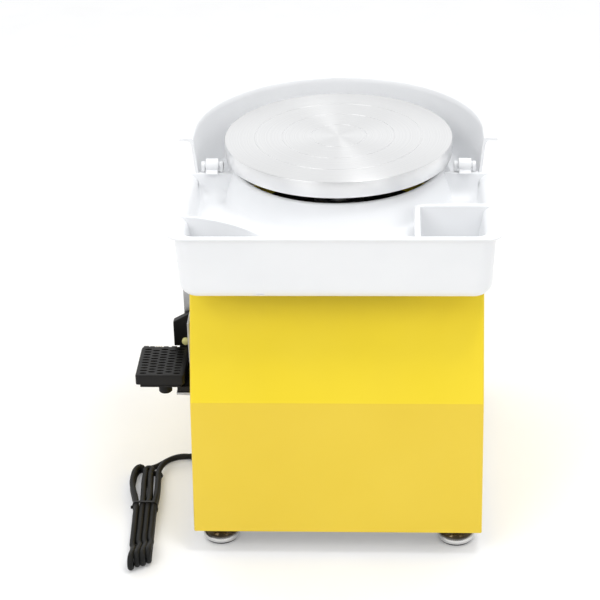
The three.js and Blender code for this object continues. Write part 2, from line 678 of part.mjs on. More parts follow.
function rocker(y, z, tilt) {
  const half = ROCKER.height / 2;
  const paddle = outline([
    [5, -3.5], [5, 3.5], [-3.5, half], [-6.5, half], [-4.6, 0], [-6.5, -half], [-3.5, -half],
  ]);
  const piece = alongY(paddle, -ROCKER.depth / 2, ROCKER.depth / 2);
  return piece.rotateY(tilt).translate(-HOUSING_HALF + 2, y, z);
}

for (const [name, [y, z]] of Object.entries(SWITCHES)) {
  add(`${name}_switch_body`, switchBody(y, z), blackPlastic);
  add(`${name}_rocker`, rocker(y, z, name === 'power' ? POWER_OFF_TILT : 0), blackPlastic);
}

// ---------- mains cord ----------
// The lead leaves the rear panel, turns down to the floor and comes forward beside and under
// the left edge of the housing into the hank.
const leadRoute = [
  [-120, INLET.tip + GAP, 45], [-120, 197, 44.6], [-121, 204, 42.8], [-124, 213, 39.5],
  [-130, 221.5, 35], [-138.5, 227.5, 29.5], [-148.5, 230, 23.5], [-158.5, 228, 17.5],
  [-167, 222, 12], [-173.5, 213, 7.5], [-177, 202, 4.5], [-178, 190, 3.4],
  [-177.5, 165, 3.4], [-175, 135, 3.4], [-171, 105, 3.4], [-166, 75, 3.4],
  [-161, 45, 3.4], [-157, 20, 3.4], [-156.5, 4, 3.4], [-159.5, -9, 3.4],
  [-166.5, -20, 3.4], [-177, -28, 3.4], [-190, -31.5, 3.4], [-203, -34, 3.4],
  [-213.5, -42, 3.4], [-220.5, -53, 3.6],
];

// The tail leaves the top of the hank and passes under the housing to the plug.
const tailRoute = [
  [-216.8, -63.2, 9.8], [-214.3, -58.6, 9.4], [-210.8, -53.4, 9], [-206.8, -48.4, 8.4],
  [-201.8, -44, 7.8], [-195.8, -41.2, 7], [-189.5, -40.6, 6.3], [-183, -42, 5.5],
  [-176.5, -45.2, 4.8], [-169.5, -49.5, 4.1], [-162, -54, 3.6], [-154, -58.5, 3.5],
  [-145, -62.5, 4.2], [-136, -65, 5.6], [-127, -66, 6.6], [-119, -66, 6.8],
];

function tube(points, radius, sides, steps) {
  const path = new THREE.CatmullRomCurve3(points.map((point) => new THREE.Vector3(...point)));
  const section = new THREE.Shape();
  for (let i = 0; i < sides; i += 1) {
    const angle = (i + 0.5) * 2 * Math.PI / sides;
    const [u, v] = [radius * Math.cos(angle), radius * Math.sin(angle)];
    if (i) section.lineTo(u, v);
    else section.moveTo(u, v);
  }
  section.closePath();
  return new THREE.ExtrudeGeometry(section, { steps, extrudePath: path, bevelEnabled: false });
}

// The hank: an outline with round ends and a waist where the tie holds it.
function hank() {
  const plan = new THREE.Shape();
  const right = [[-215, -74], [-211.5, -107], [-207.5, TIE_Y], [-205.5, -185], [-202, -238]];
  const left = [[-227, -246], [-229.5, -206], [-233, TIE_Y], [-240, -108], [-244, -82]];
  const sweep = (points) => new THREE.SplineCurve(points.map(([x, y]) => new THREE.Vector2(x, y)));
  plan.setFromPoints([
    ...sweep(right).getPoints(8),
    ...new THREE.EllipseCurve(-214.6, -243, 12.6, 17, 0, -Math.PI, true, 0).getPoints(8).slice(1, -1),
    ...sweep(left).getPoints(8),
    ...new THREE.EllipseCurve(-229.5, -76, 14.6, 14, Math.PI - 0.2, 0.2, true, 0).getPoints(7).slice(1, -1),
  ]);
  return upright(plan, HANK.bottom, HANK.top);
}

function tie() {
  const [left, right] = [-234, -206.5];
  const band = block([left - 2, right + 2], [TIE_Y - 1.6, TIE_Y + 1.6], [0.1, HANK.top + 1.6]);
  return cut(band, block([left - 0.7, right + 0.7], [TIE_Y - 5, TIE_Y + 5],
    [HANK.bottom - GAP, HANK.top + GAP]));
}

function strainRelief() {
  return turnedAlongY([
    [0, 154], [6.2, 154], [6.2, 163.6], [9, 163.6], [9, 166.5], [6.2, 167.5], [4.3, INLET.tip],
    [0, INLET.tip],
  ], 14, INLET.x, INLET.z);
}

// A flat two-pin plug that lies under the housing.
function plug() {
  const [x, y, z] = tailRoute[tailRoute.length - 1];
  const nose = x + GAP;
  const body = new THREE.Shape();
  body.moveTo(nose, y - 5);
  body.lineTo(nose + 8, y - 11);
  body.lineTo(nose + 33, y - 13);
  body.lineTo(nose + 33, y + 13);
  body.lineTo(nose + 8, y + 11);
  body.lineTo(nose, y + 5);
  body.closePath();
  const pins = [-9.5, 9.5].map((offset) => turnedAlongX(drum(2.2, nose + 30, nose + 52), 12, y + offset, z));
  return join(upright(body, 0.2, 13.4), ...pins);
}

add('strain_relief', strainRelief(), blackRubber);
add('cord_lead', tube(leadRoute, CORD_RADIUS, 8, 36), blackRubber);
add('cord_hank', hank(), blackRubber);
add('cord_tie', tie(), blackPlastic);
add('cord_tail', tube(tailRoute, CORD_RADIUS, 8, 12), blackRubber);
add('cord_plug', plug(), blackPlastic);

parts.position.set(-ORIGIN_X, -ORIGIN_Y, 0);
const potteryWheel = new THREE.Group();
potteryWheel.add(parts);
export default potteryWheel;
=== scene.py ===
import json
import math
import bmesh
import bpy
import numpy as np
from mathutils import Matrix, Vector


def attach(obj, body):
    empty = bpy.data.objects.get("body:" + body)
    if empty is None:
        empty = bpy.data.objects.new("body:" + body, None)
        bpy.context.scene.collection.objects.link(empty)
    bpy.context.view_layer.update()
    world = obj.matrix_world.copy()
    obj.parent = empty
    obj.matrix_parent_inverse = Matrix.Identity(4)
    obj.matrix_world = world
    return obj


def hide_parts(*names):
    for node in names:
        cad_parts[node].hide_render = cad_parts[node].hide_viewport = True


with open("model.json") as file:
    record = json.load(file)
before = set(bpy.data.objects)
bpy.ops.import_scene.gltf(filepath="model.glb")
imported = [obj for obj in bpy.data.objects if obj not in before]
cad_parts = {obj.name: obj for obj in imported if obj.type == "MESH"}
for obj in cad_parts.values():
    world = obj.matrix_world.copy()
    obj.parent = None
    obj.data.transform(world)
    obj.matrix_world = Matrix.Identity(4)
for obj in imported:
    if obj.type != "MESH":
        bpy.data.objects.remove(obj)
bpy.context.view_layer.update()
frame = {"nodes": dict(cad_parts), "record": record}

# ---------- driving dimensions, millimetres about the wheel's axis ----------
AXIS_X, AXIS_Y = 22.75, 22.0     # the wheel's axis in the frame

# The housing: one folded sheet, with a front that leans back above its lower fold.
HOUSING_HALF = 157.0
HOUSING_BOTTOM, HOUSING_TOP = 28.0, 296.0
HOUSING_REAR = 165.0
FRONT_PATH = [(-217.0, HOUSING_BOTTOM), (-190.0, 175.0), (-134.0, HOUSING_TOP),
              (HOUSING_REAR, HOUSING_TOP)]
FOLD_RADII = (2.5, 5.0)          # the folds across the front, lower and upper
BEND = 2.5                       # radius of the folds down the front's sides
SHEET = 2.0
PANEL_FACE = 163.3               # the rear panel's outer face
SIDE_FACE = -157.3               # what is mounted on the left side starts here
VENT_PITCH, VENT_HEIGHT = 16.0, 5.0

HEAD_RADIUS = 125.0
HEAD_TOP, HEAD_BOTTOM = 404.0, 385.5
GROOVES = [31.0, 62.0, 92.0]
GROOVE_DEPTH = 0.5
GROOVE_TOP, GROOVE_FLOOR = 0.4, 0.25     # half its width at the face and at its floor

# The splash basin, in a front and a rear half.
JOINT_FRONT, JOINT_REAR = -25.15, -24.85 # the halves stop either side of this gap
WALL = 3.0
SEAM = 0.05                      # keeps a joint wall's face off the shell's end, which it overlaps
BASIN_BOTTOM = 296.3
JOINT_WALL_FOOT = 297.0
POCKET_FLOOR = 302.0
BASIN_FLOOR = 341.0
BASIN_RIM = 371.0
COLLAR_INSIDE = 114.4            # where a joint wall meets the collar
GUARD_RIM = 411.0
GUARD_FOOT = 149.0
GUARD_DRAFT = 12.0
LEFT_POCKET = (-180.0, -276.0, 143.0)    # centre and radius of its curved wall
RIGHT_POCKET = (82.5, -106.0, 6.0)       # its inner corner and its wall's thickness
WALLS_FRONT = -184.0             # the compartment walls run into the shell here
SHELL_SIDE, SHELL_FRONT = 164.0, -185.0
SIDE_STATIONS = (0, 40, 80, 110) # points along a side of the shell, ahead of the joint
CORNER_STEPS = 14
# The shell's inside from the compartment floor to the crest of the rim: how far it lies inside of
# the shell's outer faces, and its height.
SHELL_INSIDE = [
    (26.0, 302.0), (22.5, 302.4), (19.5, 303.8), (17.2, 306.2), (15.9, 309.4),
    (15.4, 313.0), (12.8, 343.0), (10.9, 352.0), (10.1, 358.5), (9.3, 362.4),
    (7.7, 365.4), (5.2, 367.6), (2.6, 369.3), (0.6, 370.5), (-0.6, 371.0),
]
# The shell's outside, from the rim down, as three roundings: radius, first and last angle, steps,
# then the half width, front, plan corner radius and height of its centre.
SHELL_OUTSIDE = [
    (1.6, 90, -90, 8, 171.4, -189.4, 15.4, 369.4),
    (2.6, 90, 180, 4, 168.4, -189.4, 20.0, 365.2),
    (14.0, 0, -90, 7, 149.5, -170.5, 6.0, 310.3),
]
# The raised collar under the head, as (radius, height): its outside from the gutter up, its lip,
# and its inside back down to under the gutter.
COLLAR = [
    (139, BASIN_FLOOR), (134.5, 341.2), (131.2, 342.2), (128.8, 343.9), (127.0, 346.6), (126.0, 350),
    (118.9, 371.4), (118.5, 373.0), (117.5, 374.3), (116.1, 375),
    (113.9, 375), (113.2, 374.6), (113, 373.9), (113, 372.6), (113.4, 372.1),
    (115.2, 371.4), (122.9, 346.5), (123.2, 338.2),
]
COLLAR_FOOT = (139, 338.2)
# The gutter between the collar and the compartments: a grid, with finer steps near its walls,
# where the bottom sweeps up.
SIDE_EDGE, FRONT_EDGE = 153.3, -174.2
SWEEP_STEPS = [0.0, 0.15, 0.6, 1.4, 2.4, 3.6, 5.0, 6.8, 9.4, 12.6]
REAR_SWEEP, SIDE_SWEEP, FRONT_SWEEP = 15.0, 10.0, 8.0
SWEEP_TOP = 365.0
GUTTER_BORE = 118.0              # the grid stops under the collar
SNAP = 7.0                       # longer than a cell of the grid

CLIP_X, CLIP_Y, CLIP_Z = 138.3, -21.0, 378.3
CLIP_FOOT = 371.3

PEDAL_LEFT, PEDAL_RIGHT = -218.5, -165.5
PEDAL_FRONT, PEDAL_REAR = -162.0, -98.0
PEDAL_TOP = 192.0
TREAD_WALL = 2.4
PIVOT_Y, PIVOT_Z = -86.0, 181.0
PLATE_FACE = -160.6              # the pedal's parts stand on the bracket's plate here

SWITCHES_Y = (40.0, 92.0)
SWITCH_Z = 236.0

CORD_DIAMETER = 6.5
GLAND_X, GLAND_Z = -120.0, 45.0
# The lead runs from the gland along the floor, and humps over the tail just before it joins the
# hank. The tail runs from the hank, behind the lead, to the plug under the housing.
LEAD = [
    (GLAND_X, 190.3, GLAND_Z), (-120, 197, 44.6), (-121, 204, 42.8), (-124, 213, 39.5),
    (-130, 221.5, 35), (-138.5, 227.5, 29.5), (-148.5, 230, 23.5), (-158.5, 228, 17.5),
    (-167, 222, 12), (-173.5, 213, 7.5), (-177, 202, 4.5), (-178, 190, 3.4),
    (-177.5, 165, 3.4), (-175, 135, 3.4), (-171, 105, 3.4), (-166, 75, 3.4),
    (-161, 45, 3.6), (-157.5, 22, 5.0), (-156, 3, 6.8), (-157, -14, 8.4),
    (-161.5, -28, 9.8), (-170, -37.5, 10.6), (-181, -41, 10.9), (-192, -42.5, 10.8),
    (-202, -47, 10.5), (-208.5, -55, 10.3), (-212, -65, 10.2),
]
TAIL = [
    (-240.8, -69, 3.5), (-238.5, -62.5, 3.4), (-233.5, -58.5, 3.4), (-226.5, -56, 3.4),
    (-219, -52, 3.4), (-212.5, -45.5, 3.4), (-206, -38, 3.4), (-198.5, -32, 3.4),
    (-190, -29, 3.4), (-181, -29.5, 3.4), (-172.5, -34, 3.4), (-164.5, -41, 3.4),
    (-156, -48.5, 3.4), (-147.5, -55.5, 3.8), (-138.5, -61.5, 4.8), (-129, -65, 6), (-119, -66, 6.8),
]
# Across the hank: where each of the four lanes lies at its back, its tie and its front, how far
# forward its fold reaches, and how far it bows between the tie and the back.
LANES = [
    (-241.6, -230.6, -224.2, -256.5, 2.5), (-228.2, -223.8, -217.6, -250.5, 0.5),
    (-222.0, -217.2, -211.4, -248.5, -0.6), (-213.0, -210.7, -205.4, -243.5, -1.2),
]
HANK_BACK, TIE_Y, HANK_FRONT = -76.0, -143.0, -245.0
LAYERS = {"low": 3.6, "high": 10.2}
TIE_LIFT, TIE_SPREAD = 1.4, 25.0 # the hank stands on its band, and sags either side of it
FOLD_RADIUS = 6.5
FOLD_REACH = {"low": FOLD_RADIUS + 4, "high": 38.0}      # how far behind its fold a run stops
# The upper run comes down behind the fold: how far behind it, and how high above the lower run.
FOLD_DROP = [(14.0, 11.8), (22.0, 9.2), (30.0, 7.1)]
TURN_STEPS = 8
EARLY_RISE = 1.7                 # a back turn changes layer before it has crossed over

# ---------- camera and light, metres unless said ----------
CAMERA_AT = (61.3, -1887.5, 1202.8)      # millimetres about the axis
CAMERA_TURN = (-3.15, 27.82, -1.39)      # yaw, pitch down and roll, degrees
LENS, SENSOR = 111.5, 36.0               # millimetres
LENS_SHIFT = (-0.006, -0.008)            # parts of the frame
FLOOR_HALF = 8.0
FLOOR_GLOW = 0.19
# Name, place, target, size and watts.
SOFTBOXES = [
    ("key_softbox", (-1.1, -1.4, 1.75), (0, 0, 0.25), (1.2, 1.2), 14),
    ("fill_softbox", (1.2, -1.3, 1.6), (0, 0, 0.25), (1.0, 1.0), 6),
    ("top_softbox", (0.5, -0.35, 2.2), (0.02, 0.02, 0.4), (0.45, 0.45), 10),
]
SKY_TINT = (0.985, 0.992, 1.0, 1)
BRIGHT_SKY = (0.0, 0.8, 0.6)             # the direction in which the sky is brightest
# The sky's strength against how nearly a direction points there.
SKY_RANGE = {"From Min": -0.2, "From Max": 1.0, "To Min": 0.42, "To Max": 1.36}

# ---------- mesh and texture settings ----------
MERGE_DISTANCE = 2e-6            # metres
BEVEL_ANGLE = 35.0               # degrees: edges bent by more than this are rounded
DRIFT_SCALE, SHEEN_SCALE, STAIN_SCALE = 9.0, 35.0, 60.0
GRAIN_DEPTH = 0.0004


# ---------- small helpers ----------
def place(x, y, z):
    """A point about the wheel's axis, in millimetres, as a frame point in metres."""
    return Vector(((x + AXIS_X) / 1000, (y + AXIS_Y) / 1000, z / 1000))


def smoothstep(t):
    return t * t * (3 - 2 * t)


def arc(centre, radius, start, end, steps):
    """Points on an arc in a plane, by angles in degrees, ends included."""
    points = []
    for i in range(steps + 1):
        angle = math.radians(start + (end - start) * i / steps)
        points.append((centre[0] + radius * math.cos(angle), centre[1] + radius * math.sin(angle)))
    return points


def link(obj):
    bpy.context.scene.collection.objects.link(obj)
    return obj


def sharpen(bm, degrees):
    """Smooth shading, with open edges and edges bent by more than this left sharp."""
    limit = math.radians(degrees)
    for face in bm.faces:
        face.smooth = True
    for edge in bm.edges:
        edge.smooth = len(edge.link_faces) == 2 and edge.calc_face_angle(0.0) < limit


def piece(name, bm, look, nodes=(), body="machine", sharp=32, bevel=0.0, segments=2):
    """Turns a mesh in progress into a piece of the object that rides on a body, in the place of
    nodes of the CAD."""
    bmesh.ops.remove_doubles(bm, verts=bm.verts, dist=MERGE_DISTANCE)
    bmesh.ops.recalc_face_normals(bm, faces=bm.faces)
    sharpen(bm, sharp)
    mesh = bpy.data.meshes.new(name)
    bm.to_mesh(mesh)
    bm.free()
    mesh.materials.append(looks[look])
    obj = link(bpy.data.objects.new(name, mesh))
    if bevel:
        rounding = obj.modifiers.new("rounding", "BEVEL")
        rounding.width = bevel / 1000
        rounding.segments = segments
        rounding.limit_method = "ANGLE"
        rounding.angle_limit = math.radians(BEVEL_ANGLE)
        rounding.harden_normals = True
    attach(obj, body)
    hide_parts(*nodes)
    return obj


def thicken(obj, thickness):
    """Gives an open surface a thickness in millimetres, inwards."""
    sheet = obj.modifiers.new("sheet", "SOLIDIFY")
    sheet.thickness = thickness / 1000
    sheet.offset = -1


def loft(bm, rings, closed=False, caps=False):
    """Skins rings of equally many points. closed joins the last ring to the first; caps closes
    the ends of the rings, where each ring is an open line."""
    rows = [[bm.verts.new(point) for point in ring] for ring in rings]
    pairs = list(zip(rows, rows[1:]))
    if closed:
        pairs.append((rows[-1], rows[0]))
    for low, high in pairs:
        for i in range(len(low) - 1):
            bm.faces.new((low[i], low[i + 1], high[i + 1], high[i]))
    if caps:
        bm.faces.new([row[0] for row in rows])
        bm.faces.new([row[-1] for row in reversed(rows)])
    return rows


def lathe(bm, profile, steps, x, y, axis="Z"):
    """A closed solid of revolution about a line along an axis, from (radius, position) points."""
    rings = []
    for i in range(steps):
        angle = 2 * math.pi * i / steps
        ring = []
        for radius, along in profile:
            u, v = radius * math.cos(angle), radius * math.sin(angle)
            if axis == "Z":
                ring.append(place(x + u, y + v, along))
            elif axis == "X":
                ring.append(place(along, x + u, y + v))
            else:
                ring.append(place(x + u, along, y + v))
        rings.append(ring)
    loft(bm, rings, closed=True)
    bmesh.ops.remove_doubles(bm, verts=bm.verts, dist=MERGE_DISTANCE)


def turned_piece(name, profile, steps, look, nodes=(), at=(0.0, 0.0), axis="Z", body="machine",
                 sharp=32):
    """A piece that is one solid of revolution, about a line through a point across its axis."""
    bm = bmesh.new()
    lathe(bm, profile, steps, *at, axis=axis)
    return piece(name, bm, look, nodes, body, sharp=sharp)


def prism(bm, outline, low, high, axis="Z"):
    """A prism of a plane outline, carried along an axis from low to high."""
    def corner(u, v, w):
        if axis == "Z":
            return place(u, v, w)
        if axis == "X":
            return place(w, u, v)
        return place(u, w, v)
    bottom = [bm.verts.new(corner(u, v, low)) for u, v in outline]
    top = [bm.verts.new(corner(u, v, high)) for u, v in outline]
    bm.faces.new(bottom)
    bm.faces.new(list(reversed(top)))
    for i in range(len(outline)):
        j = (i + 1) % len(outline)
        bm.faces.new((bottom[i], bottom[j], top[j], top[i]))


def box(bm, x_range, y_range, z_range):
    (x0, x1), (y0, y1) = x_range, y_range
    prism(bm, [(x0, y0), (x1, y0), (x1, y1), (x0, y1)], z_range[0], z_range[1])


def rounded_edge(inner, outer, top, radius, steps=4):
    """The rounded top of an upright wall, as (position across, height) from inner to outer side."""
    sign = 1 if outer > inner else -1
    near = arc((0, 0), radius, 180, 90, steps)
    far = arc((0, 0), radius, 90, 0, steps)
    first = [(inner + sign * (radius + u), top - radius + v) for u, v in near]
    last = [(outer - sign * (radius - u), top - radius + v) for u, v in far]
    return first + last


def rounded_rectangle(u0, u1, v0, v1, radius, steps=5):
    points = arc((u1 - radius, v0 + radius), radius, -90, 0, steps)
    points += arc((u1 - radius, v1 - radius), radius, 0, 90, steps)
    points += arc((u0 + radius, v1 - radius), radius, 90, 180, steps)
    points += arc((u0 + radius, v0 + radius), radius, 180, 270, steps)
    return points


def plate_with_holes(bm, outer, holes, corner):
    """A flat face with holes, from outlines in a plane that corner() takes to space."""
    edges = []
    for outline in [outer, *holes]:
        verts = [bm.verts.new(corner(u, v)) for u, v in outline]
        edges += [bm.edges.new((verts[i], verts[(i + 1) % len(verts)])) for i in range(len(verts))]
    bmesh.ops.triangle_fill(bm, use_beauty=True, edges=edges)


# ---------- materials ----------
class Nodes:
    """A short way to wire a procedural material."""

    def __init__(self, name):
        self.material = bpy.data.materials.new(name)
        self.material.use_nodes = True
        self.tree = self.material.node_tree
        self.shader = next(n for n in self.tree.nodes if n.type == "BSDF_PRINCIPLED")

    def add(self, kind, **settings):
        node = self.tree.nodes.new(kind)
        for key, value in settings.items():
            setattr(node, key, value)
        return node

    def wire(self, source, target, socket):
        output = source if isinstance(source, bpy.types.NodeSocket) else source.outputs[0]
        self.tree.links.new(output, target.inputs[socket])

    def set(self, **values):
        for key, value in values.items():
            self.shader.inputs[key.replace("_", " ")].default_value = value

    def place_at(self):
        return self.add("ShaderNodeTexCoord").outputs["Object"]

    def noise(self, scale, detail=3.0):
        noise = self.add("ShaderNodeTexNoise")
        noise.inputs["Scale"].default_value = scale
        noise.inputs["Detail"].default_value = detail
        self.wire(self.place_at(), noise, "Vector")
        return noise.outputs[0]

    def ramp(self, source, low, high, start=0.35, end=0.65):
        """Spreads a 0 to 1 value between two colours."""
        ramp = self.add("ShaderNodeValToRGB")
        first, last = ramp.color_ramp.elements
        first.position, first.color = start, (*low, 1)
        last.position, last.color = end, (*high, 1)
        self.wire(source, ramp, 0)
        return ramp.outputs[0]

    def facing_up(self, low, high):
        """0 to 1 as a face turns upwards, between two heights of its normal."""
        split = self.add("ShaderNodeSeparateXYZ")
        self.wire(self.add("ShaderNodeTexCoord").outputs["Normal"], split, 0)
        spread = self.add("ShaderNodeMapRange")
        spread.inputs["From Min"].default_value = low
        spread.inputs["From Max"].default_value = high
        self.wire(split.outputs["Z"], spread, "Value")
        return spread.outputs["Result"]

    def blend(self, factor, first, second):
        """Two colours mixed by a factor. Sockets 6, 7 and output 2 are the colour ones."""
        mix = self.add("ShaderNodeMix", data_type="RGBA")
        self.wire(factor, mix, "Factor")
        self.wire(first, mix, 6)
        self.wire(second, mix, 7)
        return mix.outputs[2]

    def bump(self, height, strength, distance=GRAIN_DEPTH):
        bump = self.add("ShaderNodeBump")
        bump.inputs["Strength"].default_value = strength
        bump.inputs["Distance"].default_value = distance
        self.wire(height, bump, "Height")
        self.wire(bump, self.shader, "Normal")


def grey(value):
    return (value, value, value)


def coated(name, low, high, rough, grain=900.0, bump=0.05, metallic=0.0, shine=0.5, glow=0.0):
    """Paint, plastic or rubber: a slow colour drift, a fine grain and an uneven sheen."""
    n = Nodes(name)
    n.wire(n.ramp(n.noise(DRIFT_SCALE), low, high), n.shader, "Base Color")
    n.wire(n.ramp(n.noise(SHEEN_SCALE), grey(rough - 0.05), grey(rough + 0.05)), n.shader, "Roughness")
    n.set(Metallic=metallic, Specular_IOR_Level=shine)
    n.set(Emission_Color=(1, 1, 1, 1), Emission_Strength=glow)
    n.bump(n.noise(grain), bump)
    return n.material


def powder_coat_and_painted_shade():
    """Yellow powder coat: orange-peel ripple, faint tone drift, a slightly duller sheen in places.
    Painted shade: faces that stand upright get a darker, duller yellow than faces that lean back towards
    the light."""
    n = Nodes("yellow_powder_coat_painted_shade")
    # painted shade: a darker yellow for upright faces, a brighter one for faces that lean back
    upright = n.ramp(n.noise(5.0), (0.82, 0.585, 0.026), (0.85, 0.615, 0.034))
    leaning = n.ramp(n.noise(5.0), (0.88, 0.665, 0.016), (0.92, 0.705, 0.022))
    n.wire(n.blend(n.facing_up(0.22, 0.38), upright, leaning), n.shader, "Base Color")
    n.wire(n.ramp(n.noise(14.0), grey(0.36), grey(0.46)), n.shader, "Roughness")
    n.set(Coat_Weight=0.15, Coat_Roughness=0.25)
    n.bump(n.noise(1300.0, detail=2.0), 0.10)
    return n.material


def turned_metal(name, tone, painted_highlight_edge_tone, rough):
    """Metal turned on a lathe: fine rings about the wheel's axis and the fan of light they give. Its
    upright edge is painted lighter than the face, a painted highlight."""
    n = Nodes(name)
    shift = n.add("ShaderNodeVectorMath", operation="SUBTRACT")
    shift.inputs[1].default_value = place(0, 0, 0)
    n.wire(n.place_at(), shift, 0)
    flat = n.add("ShaderNodeVectorMath", operation="MULTIPLY")
    flat.inputs[1].default_value = (1, 1, 0)
    n.wire(shift, flat, 0)
    radius = n.add("ShaderNodeVectorMath", operation="LENGTH")
    n.wire(flat, radius, 0)
    rings = n.add("ShaderNodeTexNoise", noise_dimensions="1D")
    rings.inputs["Scale"].default_value = 900.0
    rings.inputs["Detail"].default_value = 4.0
    n.wire(radius.outputs["Value"], rings, "W")
    face = n.ramp(rings.outputs[0], grey(tone - 0.05), grey(tone + 0.03))
    # painted highlight: the upright edge gets a much lighter grey than the top face
    edge = n.ramp(n.noise(20.0), grey(painted_highlight_edge_tone - 0.04), grey(painted_highlight_edge_tone + 0.02))
    n.wire(n.blend(n.facing_up(0.3, 0.7), edge, face), n.shader, "Base Color")
    n.wire(n.ramp(rings.outputs[0], grey(rough - 0.04), grey(rough + 0.05)), n.shader, "Roughness")
    n.set(Metallic=1.0, Anisotropic=0.8, Anisotropic_Rotation=0.25)
    tangent = n.add("ShaderNodeTangent", direction_type="RADIAL", axis="Z")
    n.wire(tangent, n.shader, "Tangent")
    n.bump(rings.outputs[0], 0.06, 0.0002)
    return n.material


def bare_metal(name, low, high, rough):
    """Uncoated or zinc-plated steel, with a mottled tone and an uneven polish."""
    n = Nodes(name)
    n.wire(n.ramp(n.noise(STAIN_SCALE), low, high), n.shader, "Base Color")
    n.wire(n.ramp(n.noise(45.0), grey(rough - 0.07), grey(rough + 0.07)), n.shader, "Roughness")
    n.set(Metallic=1.0)
    n.bump(n.noise(500.0), 0.04, 0.0003)
    return n.material


def plated_foot():
    """Plated steel, with a painted highlight round its rim and a painted dark brown reflection where it
    faces up.
    """
    n = Nodes("plated_foot")
    # painted highlight on the rim and painted reflection on faces that point up, blended by how far a
    # face points up
    rim = n.ramp(n.noise(STAIN_SCALE), grey(0.66), grey(0.76))
    painted_reflection_crown = n.ramp(n.noise(STAIN_SCALE), (0.075, 0.055, 0.032), (0.13, 0.10, 0.06))
    n.wire(n.blend(n.facing_up(0.22, 0.5), rim, painted_reflection_crown), n.shader, "Base Color")
    n.wire(n.ramp(n.noise(45.0), grey(0.14), grey(0.24)), n.shader, "Roughness")
    n.set(Metallic=1.0)
    n.bump(n.noise(500.0), 0.03, 0.0003)
    return n.material


def black_moulding():
    low, high = (0.0075, 0.0065, 0.006), (0.011, 0.010, 0.009)
    return coated("black_moulding", low, high, 0.42, grain=1100.0, bump=0.15, shine=0.22)


def white_moulding():
    low, high = (0.85, 0.86, 0.875), (0.885, 0.893, 0.905)
    return coated("white_moulding", low, high, 0.34, grain=700.0, bump=0.03)


# The looks by material slot.
looks = {
    "yellow_paint": powder_coat_and_painted_shade(),
    "white_plastic": white_moulding(),
    # 0.92 is the painted highlight on the head's upright edge
    "brushed_aluminium": turned_metal("turned_aluminium", 0.67, 0.92, 0.36),
    "steel": bare_metal("bright_steel", grey(0.55), grey(0.66), 0.24),
    "plated_foot": plated_foot(),
    "galvanised": bare_metal("dull_zinc", grey(0.42), grey(0.56), 0.42),
    "cast_iron": coated("cast_iron", grey(0.06), grey(0.09), 0.6, grain=300.0, bump=0.3, metallic=0.6),
    "black_plastic": black_moulding(),
    "black_rubber": coated("charcoal_rubber", grey(0.008), grey(0.013), 0.58, 800.0, 0.12, shine=0.2),
    "motor_paint": coated("motor_enamel", grey(0.018), grey(0.026), 0.42, 500.0, 0.1),
    "circuit_green": coated("solder_mask", (0.01, 0.08, 0.03), (0.015, 0.11, 0.04), 0.4),
    "pale_knob": coated("pale_yellow_knob", (0.86, 0.79, 0.30), (0.92, 0.86, 0.40), 0.35),
}


def dress_nodes():
    """Gives the CAD solids that stay in view the look of their slot."""
    for entry in frame["record"]["subparts"]:
        node = frame["nodes"][entry["node"]]
        node.data.materials.clear()
        node.data.materials.append(looks[entry["material_slot"]])


# ---------- camera ----------
def add_camera():
    """Stands in front of the wheel a little above it, looking down on to the head."""
    yaw, pitch, roll = (math.radians(angle) for angle in CAMERA_TURN)
    level = Vector((math.cos(yaw), -math.sin(yaw), 0))
    ahead = Vector((math.sin(yaw), math.cos(yaw), 0))
    forward = math.cos(pitch) * ahead - Vector((0, 0, math.sin(pitch)))
    upward = level.cross(forward)
    right = math.cos(roll) * level + math.sin(roll) * upward
    top = math.cos(roll) * upward - math.sin(roll) * level
    data = bpy.data.cameras.new("camera")
    data.sensor_width = SENSOR
    data.lens = LENS
    data.shift_x, data.shift_y = LENS_SHIFT
    obj = link(bpy.data.objects.new("camera", data))
    matrix = Matrix((right, top, -forward)).transposed().to_4x4()
    matrix.translation = place(*CAMERA_AT)
    obj.matrix_world = matrix
    bpy.context.scene.camera = obj


# ---------- floor and light ----------
def add_softbox(name, where, target, size, power):
    light = bpy.data.lights.new(name, "AREA")
    light.shape = "RECTANGLE"
    light.size, light.size_y = size
    light.energy = power
    obj = link(bpy.data.objects.new(name, light))
    obj.location = where
    obj.rotation_euler = (Vector(target) - Vector(where)).to_track_quat("-Z", "Y").to_euler()


def add_studio():
    """A white floor, lit from within as a light table is, under broad soft light. It is shown without
    a film curve so that white stays white."""
    bpy.context.scene.view_settings.view_transform = "Standard"
    bm = bmesh.new()
    bmesh.ops.create_grid(bm, x_segments=1, y_segments=1, size=FLOOR_HALF)
    mesh = bpy.data.meshes.new("floor")
    bm.to_mesh(mesh)
    bm.free()
    floor = link(bpy.data.objects.new("floor", mesh))
    lit_floor = coated("lit_floor", grey(0.75), grey(0.77), 0.7, grain=40.0, bump=0.0, glow=FLOOR_GLOW)
    mesh.materials.append(lit_floor)
    add_sky()
    for softbox in SOFTBOXES:
        add_softbox(*softbox)


def add_sky():
    """Soft light from all round, brightest high up behind the wheel."""
    world = bpy.data.worlds.new("studio")
    world.use_nodes = True
    tree = world.node_tree
    background = tree.nodes["Background"]
    background.inputs["Color"].default_value = SKY_TINT
    direction = tree.nodes.new("ShaderNodeTexCoord")
    towards = tree.nodes.new("ShaderNodeVectorMath")
    towards.operation = "DOT_PRODUCT"
    towards.inputs[1].default_value = BRIGHT_SKY
    tree.links.new(direction.outputs["Generated"], towards.inputs[0])
    glow = tree.nodes.new("ShaderNodeMapRange")
    for socket, value in SKY_RANGE.items():
        glow.inputs[socket].default_value = value
    tree.links.new(towards.outputs["Value"], glow.inputs["Value"])
    tree.links.new(glow.outputs["Result"], background.inputs["Strength"])
    bpy.context.scene.world = world


